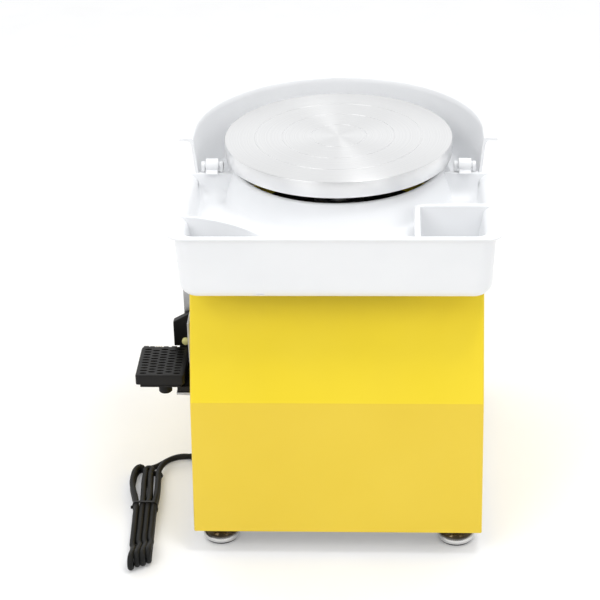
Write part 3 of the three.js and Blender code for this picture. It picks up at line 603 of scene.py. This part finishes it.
# ---------- mains cord ----------
def smooth_line(points, spacing=2.5, fineness=12):
    """A Catmull-Rom line through points, resampled at an even spacing, in millimetres."""
    p = np.array(points, float)
    p = np.vstack([2 * p[0] - p[1], p, 2 * p[-1] - p[-2]])
    fine = []
    for i in range(1, len(p) - 2):
        for t in np.linspace(0, 1, fineness, endpoint=False):
            a, b, c, d = p[i - 1], p[i], p[i + 1], p[i + 2]
            fine.append(0.5 * (2 * b + (c - a) * t + (2 * a - 5 * b + 4 * c - d) * t**2
                               + (3 * b - a - 3 * c + d) * t**3))
    fine = np.array(fine + [p[-2]])
    run = np.concatenate([[0], np.cumsum(np.linalg.norm(np.diff(fine, axis=0), axis=1))])
    wanted = np.linspace(0, run[-1], int(run[-1] / spacing) + 1)
    return np.stack([np.interp(wanted, run, fine[:, k]) for k in range(3)], 1)


def lane_point(lane, layer, y):
    """Where a lane of the hank lies at one distance along it."""
    back, middle, front, _, bow = LANES[lane]
    lift = TIE_LIFT * math.exp(-((y - TIE_Y) / TIE_SPREAD) ** 2)
    if y > TIE_Y:
        t = min((y - TIE_Y) / (HANK_BACK - TIE_Y), 1.0)
        x = middle + (back - middle) * smoothstep(t) - bow * math.sin(math.pi * t)
    else:
        x = middle + (front - middle) * (TIE_Y - y) / (TIE_Y - HANK_FRONT)
    return (x, y, LAYERS[layer] + lift)


def lane_run(lane, layer, forward):
    """One straight run of the hank between its back and its fold."""
    stop = LANES[lane][3] + FOLD_REACH[layer]
    points = [lane_point(lane, layer, y) for y in np.linspace(HANK_BACK, stop, 9)]
    return points if forward else points[::-1]


def front_fold(lane, upward):
    """The turn at the front, a drop-shaped bight from one layer to the other."""
    fold = LANES[lane][3]
    x, _, low = lane_point(lane, "low", fold)
    centre = (fold + FOLD_RADIUS, low + FOLD_RADIUS)
    turn = [(x, y, z) for y, z in arc(centre, FOLD_RADIUS, 270, 90, TURN_STEPS)]
    turn += [(x, fold + behind, low + height) for behind, height in FOLD_DROP]
    return turn if upward else turn[::-1]


def back_turn(from_lane, from_layer, to_lane, to_layer, reach, bulge):
    """The open turn at the back, from one lane to another, bulging where the lanes are close."""
    start = np.array(lane_point(from_lane, from_layer, HANK_BACK))
    end = np.array(lane_point(to_lane, to_layer, HANK_BACK))
    across = (end - start) / np.linalg.norm(end - start)
    points = []
    for i in range(1, TURN_STEPS):
        angle = math.pi * i / TURN_STEPS
        share = (1 - math.cos(angle)) / 2
        middle = start + (end - start) * share - across * bulge * math.sin(2 * angle)
        rise = (end[2] - start[2]) * smoothstep(min(EARLY_RISE * share, 1.0))
        points.append((middle[0], middle[1] + reach * math.sin(angle), start[2] + rise))
    return points


def cord_route():
    """The lead, up and down the four lanes of the hank, and the tail."""
    route = list(LEAD)
    route += lane_run(3, "high", True) + front_fold(3, False) + lane_run(3, "low", False)
    route += back_turn(3, "low", 2, "low", 9.0, 2.2)
    route += lane_run(2, "low", True) + front_fold(2, True) + lane_run(2, "high", False)
    route += back_turn(2, "high", 1, "high", 11.0, 1.4)
    route += lane_run(1, "high", True) + front_fold(1, False) + lane_run(1, "low", False)
    route += back_turn(1, "low", 0, "high", 14.0, 0.0)
    route += lane_run(0, "high", True) + front_fold(0, False) + lane_run(0, "low", False)
    return smooth_line(route + TAIL)


def add_tube(name, line, radius, look, nodes, sides=16):
    """A round tube along a line of points in millimetres, with flat ends."""
    bm = bmesh.new()
    tangents = np.gradient(line, axis=0)
    tangents /= np.linalg.norm(tangents, axis=1)[:, None]
    side = np.cross(tangents[0], (0.0, 0.0, 1.0))
    rings = []
    for point, tangent in zip(line, tangents):
        side = side - tangent * np.dot(side, tangent)
        side /= np.linalg.norm(side)
        over = np.cross(tangent, side)
        ring = []
        for k in range(sides + 1):
            angle = 2 * math.pi * (k % sides) / sides
            ring.append(place(*(point + radius * (math.cos(angle) * side + math.sin(angle) * over))))
        rings.append(ring)
    rows = loft(bm, rings)
    bm.faces.new(rows[0][:-1])
    bm.faces.new(list(reversed(rows[-1][:-1])))
    return piece(name, bm, look, nodes, sharp=60)


def add_tie():
    """A thin band pulled round the hank's middle, with its twisted ends at the left."""
    left, right, low, high = -235.0, -206.3, 0.3, 16.2
    band, half_width = 1.0, 1.5
    bm = bmesh.new()
    outer = rounded_rectangle(left, right, low, high, 4.5)
    inner = rounded_rectangle(left + band, right - band, low + band, high - band, 3.7)
    rings = []
    for outline, side in ((outer, -1), (outer, 1), (inner, 1), (inner, -1)):
        rings.append([place(x, TIE_Y + side * half_width, z) for x, z in outline + outline[:1]])
    loft(bm, rings, closed=True)
    twist = [(0, left - 2.6), (1.5, left - 2.2), (2.1, left - 1.0), (1.7, left + 0.6), (0, left + 0.8)]
    lathe(bm, twist, 14, TIE_Y, 8.0, axis="X")
    return piece("hank_tie", bm, "black_plastic", ["cord_tie"])


def add_strain_relief():
    """A ribbed rubber gland that tapers along the cord."""
    profile = [(0, 156), (6.0, 156), (6.0, 163.6), (9, 163.6), (9, 166), (6.4, 167)]
    for i in range(5):
        along = 169 + 4 * i
        radius = 6.1 - 0.35 * i
        profile += [(radius, along), (radius, along + 2.4), (radius - 0.8, along + 2.6)]
        profile.append((radius - 0.8, along + 3.8))
    profile += [(4.2, 189.8), (0, 189.8)]
    return turned_piece("cord_gland", profile, 24, "black_rubber", ["strain_relief"],
                        (GLAND_X, GLAND_Z), "Y")


def add_plug():
    """A flat two-pin plug with a ribbed grip."""
    x, y, z = TAIL[-1]
    nose = x + 0.3
    flare = [(0, 5), (8, 10.6), (33, 12.6)]
    outline = [(nose + along, y - half) for along, half in flare]
    outline += [(nose + along, y + half) for along, half in reversed(flare)]
    bm = bmesh.new()
    prism(bm, outline, 0.4, 13.2)
    for i in range(4):
        rib = nose + 11 + 4.5 * i
        box(bm, (rib, rib + 2), (y - 12.4, y + 12.4), (0.25, 13.35))
    body = piece("plug_body", bm, "black_plastic", ["cord_plug"], bevel=1.0)
    bm = bmesh.new()
    pin = [(0, nose + 32), (2.2, nose + 32), (2.2, nose + 50.5), (1.2, nose + 52), (0, nose + 52)]
    for offset in (-9.5, 9.5):
        lathe(bm, pin, 16, y + offset, z, axis="X")
    pins = piece("plug_pins", bm, "steel")
    return [body, pins]


def add_cord():
    line = cord_route()
    nodes = ["cord_lead", "cord_hank", "cord_tail"]
    flex = add_tube("mains_cord", line, CORD_DIAMETER / 2, "black_rubber", nodes)
    tie, gland, plug = add_tie(), add_strain_relief(), add_plug()


# ---------- splash basin ----------
def front_outline(half, front, radius, z):
    """An open line round the front half at one height, from its left joint end to its right."""
    flat = 2 * (half - radius)
    points = [(-half, JOINT_FRONT - ahead) for ahead in SIDE_STATIONS]
    points += arc((-half + radius, front + radius), radius, 180, 270, CORNER_STEPS)
    points += [(-half + radius + flat * k / 8, front) for k in range(1, 8)]
    points += arc((half - radius, front + radius), radius, 270, 360, CORNER_STEPS)
    points += [(half, JOINT_FRONT - ahead) for ahead in reversed(SIDE_STATIONS)]
    return [place(x, y, z) for x, y in points]


def rear_outline(radius, z, steps=72):
    """An open line round the rear half: straight sides and a half circle."""
    points = [(-radius, JOINT_REAR), (-radius, JOINT_REAR / 2)]
    points += arc((0, 0), radius, 180, 0, steps)
    points += [(radius, JOINT_REAR / 2), (radius, JOINT_REAR)]
    return [place(x, y, z) for x, y in points]


def collar_outline(radius, z, cut, rear, steps):
    """The part of a circle round the axis that lies on one side of the joint."""
    edge = math.degrees(math.asin(abs(cut) / radius))
    start, end = (180 + edge, -edge) if rear else (180 + edge, 360 - edge)
    return [place(x, y, z) for x, y in arc((0, 0), radius, start, end, steps)]


def joint_walls(bm, front, rear, outer):
    """The two upright walls that a half of the basin has along the joint."""
    top = rounded_edge(front, rear, BASIN_RIM, 1.2)
    section = [(front, JOINT_WALL_FOOT), *top, (rear, JOINT_WALL_FOOT)]
    for side in (-1, 1):
        low, high = sorted((side * outer, side * COLLAR_INSIDE))
        prism(bm, section, low, high, axis="X")


def front_basin_mesh():
    """The front half's shell with its rolled rim, its half of the collar and its joint walls."""
    bm = bmesh.new()
    rings = [front_outline(SHELL_SIDE - inset, SHELL_FRONT + inset, max(19 - inset / 2, 6), z)
             for inset, z in SHELL_INSIDE]
    for radius, start, end, steps, half, front, corner, height in SHELL_OUTSIDE:
        for u, v in arc((0, 0), radius, start, end, steps):
            rings.append(front_outline(half + u, front - u, corner + u, height + v))
    loft(bm, rings, closed=True, caps=True)
    cone = COLLAR + [COLLAR_FOOT]
    loft(bm, [collar_outline(r, z, JOINT_FRONT, False, 72) for r, z in cone], closed=True, caps=True)
    joint_walls(bm, JOINT_FRONT - WALL, JOINT_FRONT - SEAM, 163.4)
    return bm


def skirt(x, y):
    """How low an inner wall reaches at a point in plan: less where the shell's foot is rounded."""
    to_shell = min(SHELL_SIDE - abs(x), y - SHELL_FRONT - 0.5)
    return 313.0 if to_shell < 4.2 else POCKET_FLOOR - 1.5


def pocket_wall(bm, path, thickness):
    """An upright wall with a rounded top along a plan path, from the pocket floor to the rim."""
    line = np.array(path, float)
    along = np.gradient(line, axis=0)
    along /= np.linalg.norm(along, axis=1)[:, None]
    across = np.stack([-along[:, 1], along[:, 0]], 1)
    top = rounded_edge(-thickness / 2, thickness / 2, BASIN_RIM, 1.3)
    section = [(-thickness / 2, None), *top, (thickness / 2, None)]
    rings = []
    for offset, z in section:
        rings.append([place(*(p + n * offset), z or skirt(*p)) for p, n in zip(line, across)])
    loft(bm, rings, closed=True, caps=True)


def pocket_floor(bm, outline):
    bm.faces.new([bm.verts.new(place(x, y, POCKET_FLOOR)) for x, y in outline])


def gutter_height(x, y):
    """The gutter's bottom at a point in plan: level, and swept up into the walls round it."""
    walls = [(JOINT_FRONT - WALL - y, REAR_SWEEP), (SIDE_EDGE - abs(x), SIDE_SWEEP),
             (y - FRONT_EDGE, FRONT_SWEEP)]
    height = BASIN_FLOOR
    for distance, radius in walls:
        inside = min(max(radius - distance, 0.0), radius)
        height += radius - math.sqrt(radius**2 - inside**2)
    return min(height, SWEEP_TOP)


def gutter_grid(ledge_x, ledge_y):
    """The grid's lines across and along the gutter."""
    xs = [SIDE_EDGE - step for step in SWEEP_STEPS]
    xs += [-x for x in xs]
    xs += [ledge_x, *np.linspace(-136, 136, 62)]
    ys = [JOINT_FRONT - WALL - step for step in SWEEP_STEPS]
    ys += [FRONT_EDGE + step for step in SWEEP_STEPS]
    ys += [ledge_y, *np.linspace(-157, -45, 26)]
    return sorted(xs), sorted(ys)


def gutter_bottom(bm, left_radius, ledge_x, ledge_y):
    """The gutter between the collar and the compartments, as one smooth trough. Points just inside
    the left compartment's wall are moved out on to it."""
    xs, ys = gutter_grid(ledge_x, ledge_y)
    left_x, left_y, _ = LEFT_POCKET
    grid = {}
    outside = {}
    for i, x in enumerate(xs):
        for j, y in enumerate(ys):
            reach = math.hypot(x - left_x, y - left_y)
            in_ledge = x > ledge_x and y < ledge_y
            if reach < left_radius - SNAP or in_ledge or math.hypot(x, y) < GUTTER_BORE:
                continue
            outside[i, j] = reach > left_radius
            x_at, y_at = x, y
            if not outside[i, j]:
                scale = left_radius / reach
                x_at, y_at = left_x + (x - left_x) * scale, left_y + (y - left_y) * scale
            grid[i, j] = bm.verts.new(place(x_at, y_at, gutter_height(x_at, y_at)))
    for i in range(len(xs) - 1):
        for j in range(len(ys) - 1):
            corners = [key for key in ((i, j), (i + 1, j), (i + 1, j + 1), (i, j + 1)) if key in grid]
            if len(corners) > 2 and any(outside[key] for key in corners):
                bm.faces.new([grid[key] for key in corners])


def left_pocket_curve():
    """The middle of the left compartment's curved wall, from the shell's side to its front."""
    x, y, radius = LEFT_POCKET
    middle = radius - WALL / 2
    first = math.degrees(math.acos((-162 - x) / middle))
    last = math.degrees(math.asin((WALLS_FRONT - y) / middle))
    return middle, arc((x, y), middle, first, last, 30)


def front_basin_inside(bm):
    """Compartment walls, the gutter and the compartment floors."""
    middle, curve = left_pocket_curve()
    pocket_wall(bm, curve, WALL)
    x, y, thick = RIGHT_POCKET
    bend = 6.0
    ledge_x, ledge_y = x + thick / 2, y - thick / 2
    corner = arc((ledge_x + bend, ledge_y - bend), bend, 180, 90, 8)
    ledge = [(ledge_x, WALLS_FRONT), (ledge_x, -180), (ledge_x, -150), *corner,
             (ledge_x + 30, ledge_y), (159, ledge_y), (163.2, ledge_y)]
    pocket_wall(bm, ledge, thick)
    gutter_bottom(bm, middle, ledge_x, ledge_y)
    pocket_floor(bm, [(-150, -171), *reversed(curve)])
    pocket_floor(bm, [(x, -172), (150, -172), (150, y), (x, y)])


def guard_radius(z):
    """The rear guard's outside at one height: it widens upwards."""
    return GUARD_FOOT + GUARD_DRAFT * (z - BASIN_BOTTOM) / (GUARD_RIM - BASIN_BOTTOM)


def guard_profile():
    """The rear guard as (radius, height): up its outside, round its rim and down its inside."""
    guard = [(146.4, BASIN_BOTTOM), (148.5, 297.2), (149.4, 299.2)]
    guard += [(guard_radius(z), z) for z in (340, 380, 403)]
    guard += [(guard_radius(405) + 0.5, 405.6), (guard_radius(406) + 1.7, 407.4),
              (guard_radius(408) + 3.6, 408)]
    guard += [(171.5 + u, 409.5 + v) for u, v in arc((0, 0), 1.5, -90, 90, 8)]
    guard += [(160.4, GUARD_RIM), (159.0, 410.6), (158.1, 409.6), (guard_radius(404) - WALL, 404)]
    guard += [(guard_radius(z) - WALL, z) for z in (390, 375, 361)]
    guard += [(guard_radius(350) - WALL - 9 + u, 350 + v) for u, v in arc((0, 0), 9, 0, -80, 6)]
    return guard


def rear_basin_mesh():
    """The rear half: the guard, its half of the collar and its joint walls."""
    bm = bmesh.new()
    rings = [rear_outline(r, z) for r, z in guard_profile()]
    steps = len(rings[0]) - 1
    rings += [collar_outline(r, z, JOINT_REAR, True, steps) for r, z in COLLAR]
    rings += [rear_outline(150.4, 338.2), rear_outline(146.2, 299)]
    loft(bm, rings, closed=True, caps=True)
    joint_walls(bm, JOINT_REAR + SEAM, JOINT_REAR + WALL, 152.6)
    return bm


def add_clip(name, side):
    """A C-shaped hook on the front half, open to the rear, and the rod that it holds."""
    x = side * CLIP_X
    bm = bmesh.new()
    hook = arc((CLIP_Y, CLIP_Z), 7, 40, 320, 26)
    throat = arc((CLIP_Y, CLIP_Z), 3.9, 300, 60, 16)
    prism(bm, hook + throat, x - 7, x + 7, axis="X")
    foot = [(-33, CLIP_FOOT), (-33, 373), (-28, 375), (-21, 375), (-21, CLIP_FOOT)]
    prism(bm, foot, x - 6.5, x + 6.5, axis="X")
    piece(f"{name}_hook", bm, "white_plastic", [f"{name}_clip"], "front_tray", bevel=0.6)
    bm = bmesh.new()
    lathe(bm, [(0, x - 12), (3.5, x - 12), (3.5, x + 12), (0, x + 12)], 24, CLIP_Y, CLIP_Z, axis="X")
    lug = [(CLIP_Y + 4, CLIP_FOOT), *arc((CLIP_Y, CLIP_Z), 4, 0, 180, 10), (CLIP_Y - 3.6, CLIP_FOOT)]
    for end in (-10, 10):
        prism(bm, lug, x + end - 2, x + end + 2, axis="X")
    piece(f"{name}_hinge_rod", bm, "white_plastic", [f"{name}_clip_rod"], "rear_guard", bevel=0.5)


def add_basins():
    bm = front_basin_mesh()
    front_basin_inside(bm)
    front = piece("splash_basin_front", bm, "white_plastic", ["front_basin"], "front_tray", sharp=38)
    bm = rear_basin_mesh()
    rear = piece("splash_basin_rear", bm, "white_plastic", ["rear_basin"], "rear_guard", sharp=38)
    add_clip("left", -1)
    add_clip("right", 1)


# ---------- wheel head ----------
def add_head():
    """The aluminium head, with a small rounding at its rim and three fine grooves."""
    profile = [(0, HEAD_BOTTOM), (HEAD_RADIUS - 1, HEAD_BOTTOM), (HEAD_RADIUS - 0.2, HEAD_BOTTOM + 0.3),
               (HEAD_RADIUS, HEAD_BOTTOM + 1), (HEAD_RADIUS, HEAD_TOP - 1.2),
               (HEAD_RADIUS - 0.35, HEAD_TOP - 0.35), (HEAD_RADIUS - 1.2, HEAD_TOP)]
    groove = HEAD_TOP - GROOVE_DEPTH
    for radius in reversed(GROOVES):
        profile += [(radius + GROOVE_TOP, HEAD_TOP), (radius + GROOVE_FLOOR, groove),
                    (radius - GROOVE_FLOOR, groove), (radius - GROOVE_TOP, HEAD_TOP)]
    profile.append((0, HEAD_TOP))
    head = turned_piece("turned_head", profile, 192, "brushed_aluminium", ["wheel_head"], body="wheel",
                        sharp=30)


def add_hub():
    """The cast hub under the head, hollow round the spindle."""
    profile = [(0, 384), (10.4, 381), (10.4, 340), (22.5, 340), (24, 341.5), (24, 371), (26, 373.4),
               (43.5, 376.6), (45, 378), (45, 384.6), (44.4, 385.2), (0, 385.2)]
    turned_piece("hub_casting", profile, 72, "cast_iron", ["head_hub"], body="wheel", sharp=30)


# ---------- housing ----------
def front_stations():
    """Points down the front and over the top, with rounded folds, and inward directions there."""
    path = [np.array(p) for p in FRONT_PATH]
    points = [path[0], path[0] + (path[1] - path[0]) * 0.5]
    for before, corner, after, radius in zip(path, path[1:], path[2:], FOLD_RADII):
        a = (before - corner) / np.linalg.norm(before - corner)
        b = (after - corner) / np.linalg.norm(after - corner)
        reach = radius / math.tan(math.acos(float(np.dot(a, b))) / 2)
        for t in np.linspace(0, 1, 9):
            points.append((1 - t) ** 2 * (corner + a * reach) + 2 * t * (1 - t) * corner
                          + t * t * (corner + b * reach))
        points.append((corner + after) / 2)
    points = np.array([*points, path[3]])
    along = np.gradient(points, axis=0)
    along /= np.linalg.norm(along, axis=1)[:, None]
    inward = np.stack([along[:, 1], -along[:, 0]], 1)
    inward[0] = (1, 0)
    inward[-1] = (0, -1)
    return points, inward


def bent_columns():
    """Across the front sheet: positions, and how far each lies behind the front's face."""
    flat = HOUSING_HALF - BEND
    turns = np.linspace(0, math.pi / 2, 7)
    bent = [(-flat - BEND * math.cos(a), BEND - BEND * math.sin(a)) for a in turns]
    middle = [(-flat + 2 * flat * k / 6, 0.0) for k in range(1, 6)]
    return bent + middle + [(-x, depth) for x, depth in reversed(bent)]


def vent_slots(first, last, lowest, rows):
    """Outlines of level slots one above another, between two places across the sheet."""
    slots = []
    for row in range(rows):
        low = lowest + VENT_PITCH * row
        slots.append(rounded_rectangle(first, last, low, low + VENT_HEIGHT, 2.4, 4))
    return slots


def add_housing():
    """The folded cover: the front and top in one sheet, and the sides with their openings."""
    points, inward = front_stations()
    columns = bent_columns()
    bm = bmesh.new()
    loft(bm, [[place(x, *(p + n * depth)) for x, depth in columns] for p, n in zip(points, inward)])
    side = [tuple(p + n * BEND) for p, n in zip(points, inward)]
    side.append((HOUSING_REAR, HOUSING_BOTTOM))
    cutouts = [rounded_rectangle(y - 11.1, y + 11.1, SWITCH_Z - 13.8, SWITCH_Z + 13.8, 0.8, 2)
               for y in SWITCHES_Y]
    plate_with_holes(bm, side, cutouts, lambda y, z: place(-HOUSING_HALF, y, z))
    plate_with_holes(bm, side, vent_slots(0, 90, 90, 5), lambda y, z: place(HOUSING_HALF, y, z))
    shell = piece("folded_housing", bm, "yellow_paint", ["housing_shell"], sharp=50)
    thicken(shell, SHEET)
    level = shell.modifiers.new("level_faces", "WEIGHTED_NORMAL")
    level.weight = 100
    level.keep_sharp = True


def add_rear_panel():
    """The back cover with its vents, the cord's hole and four screws."""
    outer = rounded_rectangle(-154.5, 154.5, 32.0, 293.7, 2.0, 3)
    gland = arc((GLAND_X, GLAND_Z), 6.4, 0, 345, 23)
    bm = bmesh.new()
    holes = [*vent_slots(-60, 60, 150, 6), gland]
    plate_with_holes(bm, outer, holes, lambda x, z: place(x, PANEL_FACE, z))
    panel = piece("louvred_rear_panel", bm, "yellow_paint", ["rear_panel"])
    thicken(panel, SHEET)
    head = [(0, 156), (1.8, 156), (1.8, 163.6), (4, 163.6), (3.8, 164.8), (3, 165.6), (1.1, 165.6),
            (1.1, 164.6), (0, 164.6)]
    for i, (x, z) in enumerate(((-148.5, 65), (-148.5, 265), (148.5, 65), (148.5, 265))):
        turned_piece(f"panel_screw_{i + 1}", head, 24, "steel", [f"rear_screw_{i + 1}"], (x, z), "Y")


def add_painted_shade_ring():
    """A black ring on the housing under the collar: painted shade that darkens the gap seen under the
    head.
    """
    profile = [(46, 296.2), (111, 296.2), (112, 296.6), (112, 298.0), (111, 298.4), (47, 298.4),
               (46, 298.0)]
    turned_piece("painted_shade_ring", profile, 96, "black_rubber")


def add_foot(name, x, y):
    """A steel cup on a threaded stem, and the rubber pad that it stands on."""
    cup = [(0, 6), (18.6, 6), (18.8, 3.2), (19.8, 3), (20.3, 3.6), (20.5, 5), (20.4, 6.6), (19.9, 8.4),
           (19.1, 10.2), (17.9, 12), (14.6, 16), (11, 20), (8.8, 23), (8, 26), (8, 28)]
    stem = [(4, 28), (4, 39), (0, 39)]
    pad = [(0, 0), (17.3, 0), (18.5, 1.0), (18.5, 5.7), (0, 5.7)]
    turned_piece(f"steel_foot_{name}", cup + stem, 64, "plated_foot", [f"foot_{name}"], (x, y))
    turned_piece(f"rubber_pad_{name}", pad, 64, "black_rubber", [f"foot_pad_{name}"], (x, y))


def add_feet():
    for end, y in (("front", -184), ("rear", 135)):
        for side, x in (("left", -130), ("right", 130)):
            add_foot(f"{end}_{side}", x, y)


# ---------- pedal ----------
def lens(x, y, half_width, half_depth, steps=4):
    """A pointed oval across X, as two shallow arcs."""
    points = []
    for angle in np.linspace(0, 2 * math.pi, 2 * steps + 1)[:-1]:
        points.append((x + half_width * math.cos(angle), y + half_depth * math.sin(angle)))
    return points


def tread_slots(columns=5, rows=10):
    """Oval holes in staggered columns, with one fewer in every other column."""
    step_x = (PEDAL_RIGHT - PEDAL_LEFT - 7) / columns
    step_y = (PEDAL_REAR - PEDAL_FRONT - 6) / rows
    slots = []
    for column in range(columns):
        stagger = column % 2
        for row in range(rows - stagger):
            x = PEDAL_LEFT + 3.5 + (column + 0.5) * step_x
            y = PEDAL_FRONT + 3 + (row + 0.5 + stagger / 2) * step_y
            slots.append(lens(x, y, step_x * 0.47, step_y * 0.27))
    return slots


def hinge_eye(bm, radius, front, low, high, x_range):
    """A rounded lug round the hinge pin, which grows out of a face at its front."""
    eye = arc((PIVOT_Y, PIVOT_Z), radius, -90, 90, 10)
    prism(bm, [(front, low), *eye, (front, high)], x_range[0], x_range[1], axis="X")


def add_treadle():
    """The pierced tread with its turned-down skirt, and its two hinge lugs."""
    edge, skirt_depth, corner = 1.6, 9.6, 1.4
    rear = PEDAL_REAR - 0.2
    bm = bmesh.new()
    inner = rounded_rectangle(PEDAL_LEFT + edge, PEDAL_RIGHT - edge, PEDAL_FRONT + edge, rear, corner)
    plate_with_holes(bm, inner, tread_slots(), lambda x, y: place(x, y, PEDAL_TOP))
    rings = []
    for u, v in [*arc((0, 0), edge, 90, 0, 4), (edge, -skirt_depth)]:
        inset = edge - u
        outline = rounded_rectangle(PEDAL_LEFT + inset, PEDAL_RIGHT - inset, PEDAL_FRONT + inset, rear,
                                    corner + u)
        rings.append([place(x, y, PEDAL_TOP - edge + v) for x, y in outline + outline[:1]])
    loft(bm, rings)
    tread = piece("pierced_tread", bm, "black_plastic", ["pedal_treadle"], "treadle")
    thicken(tread, TREAD_WALL)
    bm = bmesh.new()
    for x_range in ((PEDAL_LEFT + 0.2, PEDAL_LEFT + 6), (-187, -181)):
        hinge_eye(bm, 4.7, PEDAL_REAR - 3, 176.3, 188.5, x_range)
    piece("tread_lugs", bm, "black_plastic", body="treadle", bevel=0.6)


def add_pedal_base():
    """The wedge under the treadle, and the saddle that holds it and the hinge to the bracket."""
    bm = bmesh.new()
    prism(bm, [(-156, 174), (-103, 174), (-103, 184), (-156, 177)], -214.5, -169.5, axis="X")
    piece("pedal_base_wedge", bm, "black_plastic", ["pedal_base"], bevel=0.8)
    bm = bmesh.new()
    box(bm, (-175, PLATE_FACE), (-149, -62), (164.3, 171))
    box(bm, (-175, -169.4), (-148, -103), (170, 176))
    box(bm, (-175, -163), (-92, -80), (170.5, 173.7))
    for x_range in ((-211.5, -206), (-196, -190.5)):
        hinge_eye(bm, 4.4, -105, 174, 184, x_range)
    piece("pedal_saddle", bm, "black_plastic", bevel=0.6)


def add_hinge():
    """The pin, the spring round it and the speed sensor on its end."""
    pivot = (PIVOT_Y, PIVOT_Z)
    pin = [(0, -218.3), (2.0, -218.3), (2.5, -217.8), (2.5, -178), (0, -178)]
    sensor = [(0, -177.6), (6.3, -177.6), (7, -176.9), (7, -170), (6.4, -169.6), (6.4, -163), (0, -163)]
    turned_piece("hinge_pin", pin, 24, "steel", ["pedal_pin"], pivot, "X")
    add_coil_spring()
    turned_piece("potentiometer", sensor, 32, "black_plastic", ["speed_sensor"], pivot, "X")


def add_coil_spring(turns=4, wire=0.85, radius=4.0, steps=24):
    """A torsion spring round the hinge pin."""
    left, length = -205.0, 8.0
    line = []
    for i in range(turns * steps + 1):
        angle = 2 * math.pi * i / steps
        x = left + length * i / (turns * steps)
        line.append((x, PIVOT_Y + radius * math.cos(angle), PIVOT_Z + radius * math.sin(angle)))
    add_tube("torsion_spring", np.array(line), wire, "steel", ["pedal_spring"], sides=8)


def add_rubber_stop():
    profile = [(0, 160.5), (6.5, 160.5), (7.3, 161.3), (7.3, 172.6), (6.8, 173.7), (0, 173.7)]
    turned_piece("rubber_stop", profile, 40, "black_rubber", ["pedal_rubber_foot"], (-189, -140))


def add_wedge_box():
    """The small box behind the treadle, with a sloping top, and the knob on its front."""
    bm = bmesh.new()
    outline = [(-182.8, 190.6), (PLATE_FACE, 190.6), (PLATE_FACE, 233), (-182.8, 220.6)]
    prism(bm, outline, -93, -84, axis="Y")
    piece("wedge_box", bm, "black_plastic", ["pedal_control_box"], bevel=1.0, segments=3)
    knob = [(0, -97.3), (2.4, -97.2), (3.6, -96.7), (4.2, -95.6), (4.2, -93.3), (1.8, -93.3), (1.8, -86),
            (0, -86)]
    turned_piece("round_knob", knob, 32, "pale_knob", ["clamp_knob"], (-169.7, 197.2), "Y", "knob")


def add_side_bracket():
    """A zinc plate on the housing's side, the shelf at its foot, and a channel up to the basin."""
    bm = bmesh.new()
    box(bm, (SIDE_FACE - 3, SIDE_FACE), (-150, -45), (161, 250))
    box(bm, (-176, SIDE_FACE), (-150, -60), (161, 164))
    channel = [(-171, -83), (SIDE_FACE, -83), (SIDE_FACE, -81), (-169, -81), (-169, -52),
               (SIDE_FACE, -52), (SIDE_FACE, -50), (-171, -50)]
    prism(bm, channel, 206, 290)
    piece("side_bracket", bm, "galvanised", ["pedal_bracket"], bevel=0.7)


# ---------- switches ----------
def add_switch(name, y, tilt, body):
    """A rocker switch: its bezel with a sunken well, and the paddle, tilted by degrees."""
    well_depth = 9
    bm = bmesh.new()
    outer = rounded_rectangle(y - 12.5, y + 12.5, SWITCH_Z - 15.5, SWITCH_Z + 15.5, 1.6, 3)
    well = rounded_rectangle(y - 8.5, y + 8.5, SWITCH_Z - 11.5, SWITCH_Z + 11.5, 0.8, 3)
    rings = []
    for outline, proud in ((outer, 0), (outer, 1.5), (outer, 2.0), (well, 2.0), (well, -well_depth)):
        rings.append([place(SIDE_FACE - proud, u, v) for u, v in outline + outline[:1]])
    loft(bm, rings)
    bm.faces.new([bm.verts.new(place(SIDE_FACE + well_depth, u, v)) for u, v in well])
    piece(f"{name}_bezel", bm, "black_plastic", [f"{name}_switch_body"], bevel=0.4)
    bm = bmesh.new()
    turn = Matrix.Rotation(math.radians(tilt), 3, "Y")
    paddle = [(5, -3.5), (5, 3.5), (-3.5, 10.5), (-6.5, 10.5), (-5.2, 5), (-4.6, 0), (-5.2, -5),
              (-6.5, -10.5), (-3.5, -10.5)]
    turned = [turn @ Vector((u, 0, v)) for u, v in paddle]
    prism(bm, [(-155 + point.x, SWITCH_Z + point.z) for point in turned], y - 8, y + 8, axis="Y")
    piece(f"{name}_paddle", bm, "black_plastic", [f"{name}_rocker"], body, bevel=0.6)


dress_nodes()
add_camera()
add_studio()
add_cord()
add_basins()
add_head()
add_hub()
add_housing()
add_rear_panel()
add_painted_shade_ring()
add_feet()
add_treadle()
add_pedal_base()
add_hinge()
add_rubber_stop()
add_wedge_box()
add_side_bracket()
add_switch("power", SWITCHES_Y[0], -8.0, "power_switch_rocker")
add_switch("direction", SWITCHES_Y[1], 0.0, "direction_switch_rocker")
